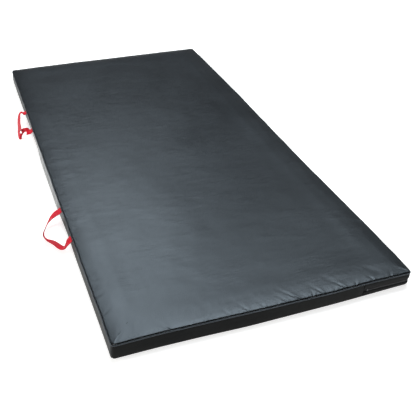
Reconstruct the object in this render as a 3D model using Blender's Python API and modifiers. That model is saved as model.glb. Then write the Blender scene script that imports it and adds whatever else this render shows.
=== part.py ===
"""A gymnastics mat, 6 ft by 3 ft by 2 in: two bonded foam layers in a boxed leatherette cover.

The cover has a piped top seam, a zip along its right side and round the front right corner, and two
webbing carrying handles sewn into the top seam of its left side. Metres, +Z up. The origin is on the
underside, at the middle of the mat. +Y is the rear short end, and the handles are on the -X side.

Sections are drawn as (out, up) points: out is measured from the side panels' outermost face, negative
inwards, and up is measured from the floor.
"""

import math

import bmesh
import bpy
from mathutils import Matrix, Vector

# Overall sizes
LENGTH = 1.830
WIDTH = 0.915
THICKNESS = 0.050
CORNER_RADIUS = 0.012

# Materials and running clearances
LEATHERETTE = 0.0007
GAP = 0.0003

# Top panel
CROWN = 0.0012
CROWN_REACH = 0.280
SHOULDER_REACH = 0.014
SHOULDER_HEIGHT = 0.0048
TOP_ALLOWANCE = 0.0130

# Piped seam under the top panel
PIPING_RADIUS = 0.0019
PIPING_WALL = 0.0005
PIPING_PROUD = 0.0005

# Side panels
SIDE_BULGE = 0.0020
STRIP_BULGE = 0.0010
CURL_HEIGHT = 0.0072
CURL_REACH = 0.0065
BOTTOM_EDGE = 0.0110
BOTTOM_LAP = 0.0070

# Foam core
LOWER_LAYER = 0.0240
FOAM_ROUNDING = 0.0100

# Handles
WEBBING_WIDTH = 0.030
WEBBING_THICKNESS = 0.0014
HANDLE_SPAN = 0.164
HANDLE_REACH = 0.0785
FRONT_HANDLE_Y = -0.349
REAR_HANDLE_Y = 0.396
HANDLE_TAIL = 0.020
HINGE_OUT = 0.0016

# Zip
ZIP_HEIGHT = 0.0205
ZIP_WRAP = 0.160
ZIP_REAR_MARGIN = 0.036
TAPE_WIDTH = 0.0120
TAPE_THICKNESS = 0.0006
TAPE_DEPTH = 0.0030
TAPE_END = 0.012
CHAIN_WIDTH = 0.0064
TOOTH_THICKNESS = 0.0018
TOOTH_PITCH = 0.0100
TOOTH_DEPTH = 0.0020
SLIDER_LENGTH = 0.0130
SLIDER_WALL = 0.0008
SLIDER_PLATE = 0.0012
SLIDER_CLEARANCE = 0.0006
POST_LENGTH = 0.0034
POST_WIDTH = 0.0022
STOP_LENGTH = 0.0030
BRIDGE_LENGTH = 0.0070
BRIDGE_WIDTH = 0.0020
PULL_PIN_RADIUS = 0.0006
PULL_LENGTH = 0.026
PULL_WIDTH = 0.0064
PULL_RIM = 0.0012

# How finely curves are cut
CORNER_STEPS = 4
BULGE_STEPS = 5
CURL_STEPS = 4
PIPING_SIDES = 10
LEAST_RADIUS = 0.0020
WEBBING_STEP = 0.008
SHEAR_START = 0.007
SHEAR_LENGTH = 0.014

# Heights and depths that follow
SHOULDER_TOP = THICKNESS - CROWN
SHOULDER_FOOT = SHOULDER_TOP - SHOULDER_HEIGHT
PIPING_OUT = PIPING_PROUD - PIPING_RADIUS
PIPING_UP = SHOULDER_FOOT - PIPING_RADIUS - GAP - LEATHERETTE
SEAM_UNDER = PIPING_UP - PIPING_RADIUS - GAP
PANEL_TOP_OUT = -SIDE_BULGE
TAIL_FACE = PANEL_TOP_OUT - LEATHERETTE - GAP
ALLOWANCE_FACE = TAIL_FACE - WEBBING_THICKNESS - GAP
FOAM_SIDE = ALLOWANCE_FACE - LEATHERETTE - GAP
LAP_UP = LEATHERETTE + GAP
LAP_END = -(BOTTOM_EDGE + BOTTOM_LAP)
SLIDER_WIDTH = CHAIN_WIDTH + 2 * (GAP + SLIDER_WALL)
LIP = SLIDER_WIDTH / 2 + SLIDER_CLEARANCE
TAPE_FACE = -TAPE_DEPTH
TEETH_BASE = TAPE_FACE + GAP
TEETH_TOP = TEETH_BASE + TOOTH_THICKNESS
LIP_OUT = TEETH_TOP + GAP
HINGE_UP = SEAM_UNDER
WEBBING_UP = HINGE_UP - WEBBING_THICKNESS / 2
ZIP_START_X = WIDTH / 2 - ZIP_WRAP
ZIP_END_Y = LENGTH / 2 - ZIP_REAR_MARGIN


def clear_scene():
    for obj in list(bpy.data.objects):
        bpy.data.objects.remove(obj, do_unlink=True)


def new_collection(name):
    made = bpy.data.collections.new(name)
    bpy.context.scene.collection.children.link(made)
    return made


def new_material(name, colour, roughness, metallic=0.0):
    made = bpy.data.materials.new(name)
    made.use_nodes = True
    shader = made.node_tree.nodes["Principled BSDF"]
    shader.inputs["Base Color"].default_value = (*colour, 1.0)
    shader.inputs["Roughness"].default_value = roughness
    shader.inputs["Metallic"].default_value = metallic
    made.diffuse_color = (*colour, 1.0)
    return made


clear_scene()
MAT = new_collection("gymnastics_mat")
CUTTERS = new_collection("cutters")
LEATHER = new_material("satin_leatherette", (0.030, 0.034, 0.040), 0.38)
BASE_LEATHER = new_material("base_leatherette", (0.022, 0.024, 0.027), 0.60)
SOFT_FOAM = new_material("soft_foam", (0.62, 0.64, 0.66), 0.90)
FIRM_FOAM = new_material("firm_foam", (0.16, 0.19, 0.24), 0.90)
CORD = new_material("piping_cord", (0.70, 0.69, 0.65), 0.80)
RED_WEBBING = new_material("red_webbing", (0.62, 0.010, 0.022), 0.60)
BLACK_TAPE = new_material("zip_tape", (0.015, 0.015, 0.017), 0.80)
BLACK_PLASTIC = new_material("zip_teeth", (0.020, 0.020, 0.022), 0.35)
DARK_METAL = new_material("zip_metal", (0.16, 0.16, 0.17), 0.35, 1.0)


def add_object(name, mesh_or_curve, material, collection=MAT):
    made = bpy.data.objects.new(name, mesh_or_curve)
    made.data.materials.append(material)
    collection.objects.link(made)
    return made


def finish_mesh(bm, name, material, smooth_deg=35.0, collection=MAT):
    """Turns a bmesh into a named object with outward normals and smooth curved faces."""
    bmesh.ops.recalc_face_normals(bm, faces=bm.faces)
    mesh = bpy.data.meshes.new(name)
    bm.to_mesh(mesh)
    bm.free()
    mesh.shade_smooth()
    mesh.set_sharp_from_angle(angle=math.radians(smooth_deg))
    return add_object(name, mesh, material, collection)


def set_origin(made, point):
    """Puts a moving piece's origin on its joint's axis and leaves the piece where it is."""
    made.data.transform(Matrix.Translation(-point))
    made.location = point


class RimPoint:
    """A place on the mat's outline. It gives a point at any distance out from the side panels' face."""

    def __init__(self, anchor, outward, corner=(0, 0), slide=0.0):
        self.anchor = Vector(anchor)
        self.outward = Vector(outward)
        self.corner = Vector(corner)
        self.along = Vector((-self.outward.y, self.outward.x))
        self.slide = slide

    def at(self, out, up):
        radius = CORNER_RADIUS + out
        point = self.anchor + self.along * self.slide
        if radius < LEAST_RADIUS and self.corner.length:
            point += self.corner * (radius - LEAST_RADIUS)
            radius = LEAST_RADIUS
        point += self.outward * radius
        return Vector((point.x, point.y, up))


def corner_points(sign_x, sign_y, start_deg, end_deg):
    """The outline's points round one corner, from one compass angle to another, anticlockwise."""
    anchor = (sign_x * (WIDTH / 2 - CORNER_RADIUS), sign_y * (LENGTH / 2 - CORNER_RADIUS))
    steps = round((end_deg - start_deg) / 90 * CORNER_STEPS)
    points = []
    for i in range(steps + 1):
        angle = math.radians(start_deg + (end_deg - start_deg) * i / steps)
        points.append(RimPoint(anchor, (math.cos(angle), math.sin(angle)), (sign_x, sign_y)))
    return points


def front_point(x, slide=0.0):
    return RimPoint((x, -LENGTH / 2 + CORNER_RADIUS), (0, -1), slide=slide)


def right_point(y, slide=0.0):
    return RimPoint((WIDTH / 2 - CORNER_RADIUS, y), (1, 0), slide=slide)


def seam_ends(points):
    """Draws the first and last point back by half a gap, where a panel meets its neighbour."""
    points[0].slide = GAP / 2
    points[-1].slide = -GAP / 2
    return points


def whole_rim():
    return (
        corner_points(1, -1, 270, 360)
        + corner_points(1, 1, 0, 90)
        + corner_points(-1, 1, 90, 180)
        + corner_points(-1, -1, 180, 270)
    )


def loft(name, points, section, material, closed=False):
    """Carries a closed (out, up) section along outline points."""
    bm = bmesh.new()
    rings = [[bm.verts.new(point.at(out, up)) for out, up in section] for point in points]
    spans = list(zip(rings, rings[1:] + rings[:1])) if closed else list(zip(rings, rings[1:]))
    for first, second in spans:
        for i in range(len(section)):
            j = (i + 1) % len(section)
            bm.faces.new((first[i], second[i], second[j], first[j]))
    if not closed:
        bm.faces.new(rings[0])
        bm.faces.new(rings[-1])
    return finish_mesh(bm, name, material)


def pad(name, section, material):
    """Carries an open (out, up) section round the whole outline and closes its two ends with flat faces."""
    bm = bmesh.new()
    rings = [[bm.verts.new(point.at(out, up)) for point in whole_rim()] for out, up in section]
    count = len(rings[0])
    for lower, upper in zip(rings, rings[1:]):
        for i in range(count):
            j = (i + 1) % count
            bm.faces.new((lower[i], lower[j], upper[j], upper[i]))
    bm.faces.new(rings[0])
    bm.faces.new(rings[-1])
    return finish_mesh(bm, name, material)


def beside(line, distance):
    """The (out, up) line moved to its left by a distance, with mitred corners."""
    moved = []
    for i, point in enumerate(line):
        here = Vector(point)
        before = here - Vector(line[i - 1]) if i else Vector(line[1]) - here
        after = Vector(line[i + 1]) - here if i + 1 < len(line) else before
        left_before = Vector((-before.y, before.x)).normalized()
        left_after = Vector((-after.y, after.x)).normalized()
        mitre = (left_before + left_after).normalized()
        here += mitre * distance / max(mitre.dot(left_before), 0.5)
        moved.append((here.x, here.y))
    return moved


def sheet(line, thickness=LEATHERETTE):
    """A closed section: an outer line and its inner face, to its left."""
    return line + beside(line, thickness)[::-1]


def bulged(start, end, bulge, steps=BULGE_STEPS):
    """Points from start to end that belly outwards by bulge in the middle."""
    points = []
    for i in range(steps + 1):
        t = i / steps
        out = start[0] + (end[0] - start[0]) * t + bulge * 4 * t * (1 - t)
        points.append((out, start[1] + (end[1] - start[1]) * t))
    return points


def crown_line(drop=0.0):
    """The crown, from the shoulder inwards, lowered by drop."""
    reaches = [0.0, 0.13, 0.35, 0.65, 1.0]
    points = []
    for share in reaches:
        inset = SHOULDER_REACH + (CROWN_REACH - SHOULDER_REACH) * share
        rise = CROWN * (1 - (1 - share) ** 2)
        points.append((-inset, SHOULDER_TOP + rise - drop))
    return points


def top_panel():
    """The crowned top sheet: seam allowance, rolled shoulder and crown."""
    roll = SHOULDER_HEIGHT / 2
    middle = SHOULDER_FOOT + roll
    shoulder = []
    for i in range(6):
        angle = math.radians(-70 + 140 * i / 5)
        shoulder.append((-roll + roll * math.cos(angle), middle + roll * math.sin(angle) * 0.98))
    outer = [
        (ALLOWANCE_FACE, SEAM_UNDER - TOP_ALLOWANCE),
        (ALLOWANCE_FACE, PIPING_UP + GAP),
        (-roll * 1.45, SHOULDER_FOOT - GAP),
        *shoulder,
        (-SHOULDER_REACH * 0.42, SHOULDER_TOP - GAP / 3),
        *crown_line(),
    ]
    return pad("top_panel", beside(outer, LEATHERETTE)[::-1] + outer, LEATHER)


def foam_layers():
    """The core: a firm lower layer that fits the turned-under sides, and a softer, crowned upper layer."""
    parting = LAP_UP + LOWER_LAYER
    rim_up = LAP_UP + LEATHERETTE + GAP
    round_up = rim_up + FOAM_ROUNDING * 0.9
    lower = [
        (LAP_END - BOTTOM_LAP / 2, LAP_UP),
        (LAP_END - GAP, rim_up),
        (FOAM_SIDE - FOAM_ROUNDING * 0.6, rim_up + GAP),
        (FOAM_SIDE - FOAM_ROUNDING * 0.25, rim_up + FOAM_ROUNDING * 0.25),
        (FOAM_SIDE, round_up),
        (FOAM_SIDE, parting),
    ]
    pad("foam_lower_layer", lower, FIRM_FOAM)
    skin = LEATHERETTE + GAP
    upper = [
        (FOAM_SIDE, parting + GAP),
        (FOAM_SIDE, SHOULDER_FOOT),
        (FOAM_SIDE - 0.3 * SHOULDER_HEIGHT, SHOULDER_TOP - skin - 0.28 * SHOULDER_HEIGHT),
        (FOAM_SIDE - 0.9 * SHOULDER_HEIGHT, SHOULDER_TOP - skin - 0.08 * SHOULDER_HEIGHT),
        *crown_line(skin),
    ]
    pad("foam_upper_layer", upper, SOFT_FOAM)


def bottom_panel():
    edge = -BOTTOM_EDGE
    pad("bottom_panel", [(edge, 0.0), (edge, LEATHERETTE)], BASE_LEATHER)


def turned_under():
    """A side panel's lower edge, from its lap over the bottom panel outwards and up to its face."""
    inner = -(CURL_REACH - PANEL_TOP_OUT)
    line = [(LAP_END, LAP_UP), (-BOTTOM_EDGE + GAP, LAP_UP), (inner - GAP, GAP)]
    for i in range(CURL_STEPS):
        angle = math.pi / 2 * i / CURL_STEPS
        line.append((inner + CURL_REACH * math.sin(angle), GAP + CURL_HEIGHT * (1 - math.cos(angle))))
    return line


def side_panels():
    """Boxing strips of full height: front, rear and left. The left one is notched for the handles' ends."""
    foot = (PANEL_TOP_OUT, GAP + CURL_HEIGHT)
    section = sheet(turned_under() + bulged(foot, (PANEL_TOP_OUT, SEAM_UNDER), SIDE_BULGE))
    front = seam_ends(corner_points(-1, -1, 225, 270) + [front_point(ZIP_START_X)])
    rear = seam_ends(corner_points(1, 1, 45, 90) + corner_points(-1, 1, 90, 135))
    left = seam_ends(corner_points(-1, 1, 135, 180) + corner_points(-1, -1, 180, 225))
    loft("side_panel_front", front, section, LEATHER)
    loft("side_panel_rear", rear, section, LEATHER)
    panel = loft("side_panel_left", left, section, LEATHER)
    for i, y in enumerate(tail_places()):
        size = (6 * WEBBING_THICKNESS, WEBBING_WIDTH + 2 * GAP, 2 * (WEBBING_THICKNESS + GAP))
        centre = (-WIDTH / 2 - PANEL_TOP_OUT, y, SEAM_UNDER)
        cutter = box(f"handle_notch_{i}", size, centre, LEATHER, CUTTERS)
        cut(panel, cutter)


def zip_panels():
    """The split boxing on each side of the zip, with lips turned in to the tape."""
    low_lip = ZIP_HEIGHT - LIP
    high_lip = ZIP_HEIGHT + LIP
    seat = TAPE_FACE + GAP
    foot = (PANEL_TOP_OUT, GAP + CURL_HEIGHT)
    lower = turned_under() + bulged(foot, (LIP_OUT, low_lip), STRIP_BULGE / 2) + [(seat, low_lip)]
    upper = [(seat, high_lip)] + bulged((LIP_OUT, high_lip), (PANEL_TOP_OUT, SEAM_UNDER), STRIP_BULGE)
    for name, line in (("zip_panel_lower", lower), ("zip_panel_upper", upper)):
        rim = [front_point(ZIP_START_X)] + corner_points(1, -1, 270, 360) + corner_points(1, 1, 0, 45)
        loft(name, seam_ends(rim), sheet(line), LEATHER)


def piping():
    """A cord in a folded strip of leatherette, whose throat points into the seam."""
    wall_inside = PIPING_RADIUS - PIPING_WALL
    throat = GAP / 2 + PIPING_WALL
    opening = math.asin(throat / PIPING_RADIUS)
    line = [(ALLOWANCE_FACE + GAP, PIPING_UP - throat)]
    for i in range(PIPING_SIDES + 1):
        angle = -math.pi + opening + (2 * math.pi - 2 * opening) * i / PIPING_SIDES
        out = PIPING_OUT + PIPING_RADIUS * math.cos(angle)
        line.append((out, PIPING_UP + PIPING_RADIUS * math.sin(angle)))
    line.append((ALLOWANCE_FACE + GAP, PIPING_UP + throat))
    loft("piping_cover", whole_rim(), sheet(line, PIPING_WALL), LEATHER, closed=True)

    route = bpy.data.curves.new("piping_cord", "CURVE")
    route.dimensions = "3D"
    route.bevel_depth = wall_inside - GAP
    route.bevel_resolution = 1
    spline = route.splines.new("POLY")
    places = [point.at(PIPING_OUT, PIPING_UP) for point in whole_rim()]
    spline.points.add(len(places) - 1)
    for target, place in zip(spline.points, places):
        target.co = (*place, 1.0)
    spline.use_cyclic_u = True
    add_object("piping_cord", route, CORD)


def box(name, size, centre, material, collection=MAT):
    bm = bmesh.new()
    bmesh.ops.create_cube(bm, size=1.0)
    bmesh.ops.scale(bm, vec=size, verts=bm.verts)
    bmesh.ops.translate(bm, vec=centre, verts=bm.verts)
    made = finish_mesh(bm, name, material, collection=collection)
    if collection is CUTTERS:
        made.hide_render = True
        made.display_type = "WIRE"
    return made


def combine(target, other, operation):
    modifier = target.modifiers.new(other.name, "BOOLEAN")
    modifier.operation = operation
    modifier.solver = "EXACT"
    modifier.object = other


def cut(target, cutter):
    combine(target, cutter, "DIFFERENCE")


def tail_places():
    """Where the handles' four ends pass through the seam, as Y."""
    half = HANDLE_SPAN / 2
    return [middle + sign * half for middle in (FRONT_HANDLE_Y, REAR_HANDLE_Y) for sign in (-1, 1)]


def smooth_between(values, t):
    """A Catmull-Rom curve through vectors, at t from 0 to len(values) - 1."""
    i = min(int(t), len(values) - 2)
    f = t - i
    a, b, c, d = (values[min(max(k, 0), len(values) - 1)] for k in (i - 1, i, i + 1, i + 2))
    return 0.5 * (2 * b + (c - a) * f + (2 * a - 5 * b + 4 * c - d) * f**2 + (3 * b - a - 3 * c + d) * f**3)


def ribbon(name, centres, widths, material):
    """A flat strap along a centre line. Solidify makes it thick.

    Width vectors are squared to the line, but less and less towards the sewn ends, where the weave
    shears instead.
    """
    runs = [0.0]
    for before, after in zip(centres, centres[1:]):
        runs.append(runs[-1] + (after - before).length)
    bm = bmesh.new()
    rows = []
    for i, centre in enumerate(centres):
        across = widths[i].normalized()
        squared = (min(runs[i], runs[-1] - runs[i]) - SHEAR_START) / SHEAR_LENGTH
        if squared > 0:
            ahead = (centres[i + 1] - centres[i - 1]).normalized()
            across = (across - ahead * across.dot(ahead) * min(squared, 1.0)).normalized()
        rows.append([bm.verts.new(centre + across * WEBBING_WIDTH / 2 * side) for side in (-1, 1)])
    for (a, b), (c, d) in zip(rows, rows[1:]):
        bm.faces.new((a, b, d, c))
    made = finish_mesh(bm, name, material)
    thick = made.modifiers.new("webbing_thickness", "SOLIDIFY")
    thick.thickness = WEBBING_THICKNESS
    thick.offset = 0.0
    return made


# Each handle's route, as shares: along the side (of half the span), out (of the reach) and up (0 where the
# webbing stands on edge on the floor, 1 at the hinge), then the direction of its width (along, out, up).
FRONT_ROUTE = (
    ((1.00, 0.000, 1.00), (1, 0, 0)),
    ((1.00, 0.070, 1.00), (1, 0, 0)),
    ((0.98, 0.160, 0.96), (0.98, 0.18, -0.08)),
    ((0.94, 0.280, 0.84), (0.95, 0.22, -0.16)),
    ((0.89, 0.420, 0.61), (0.90, 0.27, -0.33)),
    ((0.80, 0.552, 0.35), (0.74, 0.32, -0.59)),
    ((0.68, 0.673, 0.16), (0.54, 0.34, -0.77)),
    ((0.53, 0.790, 0.04), (0.32, 0.37, -0.87)),
    ((0.31, 0.903, 0.00), (0.16, 0.36, -0.92)),
    ((0.06, 0.978, 0.00), (0.03, 0.07, -1.00)),
    ((-0.17, 0.951, -0.03), (0.26, -0.52, -0.81)),
    ((-0.34, 0.827, -0.13), (0.61, -0.63, -0.48)),
    ((-0.49, 0.685, -0.19), (0.58, -0.71, -0.40)),
    ((-0.67, 0.560, -0.23), (0.46, -0.78, -0.42)),
    ((-0.84, 0.462, -0.25), (0.54, -0.77, -0.33)),
    ((-0.93, 0.365, -0.21), (0.85, -0.48, -0.20)),
    ((-0.95, 0.285, -0.02), (0.96, -0.25, -0.12)),
    ((-0.97, 0.220, 0.38), (0.97, -0.05, -0.20)),
    ((-0.99, 0.145, 0.80), (0.98, 0.05, -0.12)),
    ((-1.00, 0.070, 1.00), (1, 0, 0)),
    ((-1.00, 0.000, 1.00), (1, 0, 0)),
)
REAR_ROUTE = (
    ((1.00, 0.000, 1.00), (1, 0, 0)),
    ((1.00, 0.134, 1.08), (1.00, -0.02, -0.03)),
    ((1.00, 0.242, 1.30), (0.99, 0.01, -0.13)),
    ((0.97, 0.344, 1.25), (0.90, 0.17, -0.39)),
    ((0.90, 0.412, 0.96), (0.75, 0.31, -0.59)),
    ((0.80, 0.449, 0.65), (0.61, 0.39, -0.69)),
    ((0.68, 0.477, 0.39), (0.49, 0.43, -0.76)),
    ((0.49, 0.515, 0.12), (0.32, 0.43, -0.84)),
    ((0.29, 0.549, -0.02), (0.16, 0.45, -0.88)),
    ((0.09, 0.574, -0.07), (0.07, 0.54, -0.84)),
    ((-0.12, 0.594, -0.07), (0.05, 0.59, -0.81)),
    ((-0.33, 0.624, -0.05), (0.05, 0.52, -0.85)),
    ((-0.53, 0.668, -0.01), (0.02, 0.33, -0.94)),
    ((-0.67, 0.696, 0.02), (-0.01, 0.20, -0.98)),
    ((-0.78, 0.674, 0.03), (-0.03, 0.14, -0.99)),
    ((-0.79, 0.591, 0.05), (0.19, 0.15, -0.97)),
    ((-0.69, 0.537, 0.20), (0.49, 0.03, -0.87)),
    ((-0.61, 0.485, 0.48), (0.56, -0.37, -0.74)),
    ((-0.62, 0.398, 0.75), (0.37, -0.67, -0.64)),
    ((-0.72, 0.338, 0.88), (0.10, -0.71, -0.70)),
    ((-0.85, 0.319, 0.96), (-0.27, -0.28, -0.92)),
    ((-0.95, 0.264, 1.04), (-0.71, 0.16, -0.68)),
    ((-1.00, 0.140, 1.02), (-0.98, 0.08, -0.17)),
    ((-1.00, 0.000, 1.00), (-1, 0, 0)),
)


def handle(name, middle_y, route):
    """One carrying handle: its free loop, hinged at the seam, and the two ends sewn into the seam."""
    hinge_x = -WIDTH / 2 - HINGE_OUT
    floor_up = WEBBING_WIDTH / 2 + GAP
    places = []
    widths = []
    for (along, out, up), (width_y, width_out, width_up) in route:
        places.append(
            Vector(
                (
                    hinge_x - GAP / 2 - out * HANDLE_REACH,
                    middle_y + along * HANDLE_SPAN / 2,
                    floor_up + up * (WEBBING_UP - floor_up),
                )
            )
        )
        widths.append(Vector((-width_out, width_y, width_up)))
    centres = []
    turns = []
    for i in range(len(places) - 1):
        steps = max(2, math.ceil((places[i + 1] - places[i]).length / WEBBING_STEP))
        for k in range(steps):
            centres.append(smooth_between(places, i + k / steps))
            turns.append(smooth_between(widths, i + k / steps))
    centres.append(places[-1])
    turns.append(widths[-1])
    loop = ribbon(f"{name}_loop", centres, turns, RED_WEBBING)
    set_origin(loop, Vector((hinge_x, middle_y, HINGE_UP)))

    inner = -WIDTH / 2 - TAIL_FACE + WEBBING_THICKNESS / 2
    bend = WEBBING_THICKNESS
    for end, sign in (("front", -1), ("rear", 1)):
        y = middle_y + sign * HANDLE_SPAN / 2
        line = [
            (hinge_x + GAP / 2, WEBBING_UP),
            (inner - bend, WEBBING_UP),
            (inner - 0.3 * bend, WEBBING_UP - 0.3 * bend),
            (inner, WEBBING_UP - bend),
            (inner, WEBBING_UP - HANDLE_TAIL),
        ]
        path = [Vector((x, y, z)) for x, z in line]
        ribbon(f"{name}_tail_{end}", path, [Vector((0, 1, 0))] * len(path), RED_WEBBING)


def zip_rim(start, end):
    """Outline points along the zip from one run length to another, measured from its front end."""
    front_run = ZIP_WRAP - CORNER_RADIUS
    corner_run = CORNER_RADIUS * math.pi / 2
    breaks = [front_run + corner_run * i / CORNER_STEPS for i in range(CORNER_STEPS + 1)]
    runs = [start] + [run for run in breaks if start + GAP < run < end - GAP] + [end]
    return [zip_point(run) for run in runs]


def zip_point(run):
    front_run = ZIP_WRAP - CORNER_RADIUS
    corner_run = CORNER_RADIUS * math.pi / 2
    if run <= front_run:
        return front_point(ZIP_START_X + run)
    if run < front_run + corner_run:
        angle = 270 + 90 * (run - front_run) / corner_run
        turned = math.radians(angle)
        anchor = (WIDTH / 2 - CORNER_RADIUS, -LENGTH / 2 + CORNER_RADIUS)
        return RimPoint(anchor, (math.cos(turned), math.sin(turned)), (1, -1))
    return right_point(-LENGTH / 2 + CORNER_RADIUS + run - front_run - corner_run)


def run_at(y):
    """The run length at a Y on the right side."""
    front_run = ZIP_WRAP - CORNER_RADIUS
    return front_run + CORNER_RADIUS * math.pi / 2 + y + LENGTH / 2 - CORNER_RADIUS


SLIDER_Y = ZIP_END_Y - TAPE_END - STOP_LENGTH - SLIDER_LENGTH / 2
TEETH_START = TAPE_END + STOP_LENGTH + 2 * GAP
TEETH_END = run_at(SLIDER_Y - POST_LENGTH / 4)
PART_END = run_at(SLIDER_Y + SLIDER_LENGTH / 2 - POST_LENGTH)
TAPE_STOP = run_at(ZIP_END_Y)
CLOSED_EDGE = GAP / 2
PARTED_EDGE = POST_WIDTH / 2 + GAP


def tooth_runs():
    """Where teeth meet along the zip: even steps on the straights, and the corner's own cuts."""
    bend_start = ZIP_WRAP - CORNER_RADIUS
    bend_end = bend_start + CORNER_RADIUS * math.pi / 2
    before = round((bend_start - TEETH_START) / TOOTH_PITCH)
    after = round((TEETH_END - bend_end) / TOOTH_PITCH)
    stretches = (
        (TEETH_START, bend_start, before),
        (bend_start, bend_end, CORNER_STEPS),
        (bend_end, TEETH_END, after),
    )
    runs = [start + (end - start) * i / count for start, end, count in stretches for i in range(count)]
    return runs + [TEETH_END]


def zip_tapes():
    """Woven tapes behind the lips. Their inner edges meet along the teeth and part beyond the slider."""
    stations = [(point, CLOSED_EDGE) for point in zip_rim(GAP, TEETH_END)]
    stations += [(zip_point(PART_END), PARTED_EDGE), (zip_point(TAPE_STOP), PARTED_EDGE)]
    back = TAPE_FACE - TAPE_THICKNESS
    for name, side in (("zip_tape_upper", 1), ("zip_tape_lower", -1)):
        bm = bmesh.new()
        rings = []
        for point, edge in stations:
            inner = ZIP_HEIGHT + side * edge
            outer = ZIP_HEIGHT + side * TAPE_WIDTH
            corners = ((TAPE_FACE, inner), (TAPE_FACE, outer), (back, outer), (back, inner))
            rings.append([bm.verts.new(point.at(out, up)) for out, up in corners])
        for first, second in zip(rings, rings[1:]):
            for i in range(4):
                bm.faces.new((first[i], second[i], second[(i + 1) % 4], first[(i + 1) % 4]))
        bm.faces.new(rings[0])
        bm.faces.new(rings[-1])
        finish_mesh(bm, name, BLACK_TAPE)


def zip_teeth():
    """Two rows of teeth that mesh along one zigzag, on the tapes' outer face."""
    runs = tooth_runs()
    for name, side in (("zip_teeth_upper", 1), ("zip_teeth_lower", -1)):
        back = ZIP_HEIGHT + side * CHAIN_WIDTH / 2
        root = ZIP_HEIGHT + side * 0.75 * GAP + TOOTH_DEPTH / 2
        tip = ZIP_HEIGHT + side * 0.75 * GAP - TOOTH_DEPTH / 2
        bm = bmesh.new()

        def column(run, up):
            point = zip_point(run)
            return bm.verts.new(point.at(TEETH_TOP, up)), bm.verts.new(point.at(TEETH_BASE, up))

        backs = [column(run, back) for run in runs]
        roots = [column(run, root) for run in runs]
        tips = [column((run + after) / 2, tip) for run, after in zip(runs, runs[1:])]
        for i in range(len(tips)):
            for face in (0, 1):
                outline = (backs[i], roots[i], tips[i], roots[i + 1], backs[i + 1])
                bm.faces.new([column[face] for column in outline])
            bm.faces.new((roots[i][0], tips[i][0], tips[i][1], roots[i][1]))
            bm.faces.new((tips[i][0], roots[i + 1][0], roots[i + 1][1], tips[i][1]))
            bm.faces.new((backs[i][0], backs[i + 1][0], backs[i + 1][1], backs[i][1]))
        for i in (0, len(tips)):
            bm.faces.new((backs[i][0], roots[i][0], roots[i][1], backs[i][1]))
        finish_mesh(bm, name, BLACK_PLASTIC)


def zip_stops():
    """A crimped stop over both rows at the front end, and one on each parted tape at the closed end."""
    low, high = TEETH_BASE, TEETH_TOP
    start = zip_point(TAPE_END)
    end = zip_point(TAPE_END + STOP_LENGTH)
    edges = (ZIP_HEIGHT - CHAIN_WIDTH / 2, ZIP_HEIGHT + CHAIN_WIDTH / 2)
    section = [(low, edges[0]), (high, edges[0]), (high, edges[1]), (low, edges[1])]
    loft("zip_bottom_stop", [start, end], section, DARK_METAL)
    first = SLIDER_Y + SLIDER_LENGTH / 2 + GAP
    for name, side in (("zip_top_stop_upper", 1), ("zip_top_stop_lower", -1)):
        near = ZIP_HEIGHT + side * PARTED_EDGE
        far = ZIP_HEIGHT + side * (SLIDER_WIDTH / 2 - GAP)
        section = [(low, near), (high, near), (high, far), (low, far)]
        loft(name, [right_point(first), right_point(first + STOP_LENGTH - GAP)], section, DARK_METAL)


def zip_end_tabs():
    """Patches between the lips that cover the two ends of the tapes."""
    height = LIP - GAP
    outer = TAPE_FACE + GAP + LEATHERETTE
    section = sheet([(outer, ZIP_HEIGHT - height), (outer, ZIP_HEIGHT + height)])
    loft("zip_end_tab_front", [zip_point(GAP / 2), zip_point(TAPE_END - GAP)], section, LEATHER)
    rear = [right_point(SLIDER_Y + SLIDER_LENGTH / 2 + STOP_LENGTH + GAP)] + corner_points(1, 1, 0, 45)
    rear[-1].slide = -GAP / 2
    loft("zip_end_tab_rear", rear, section, LEATHER)


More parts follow.
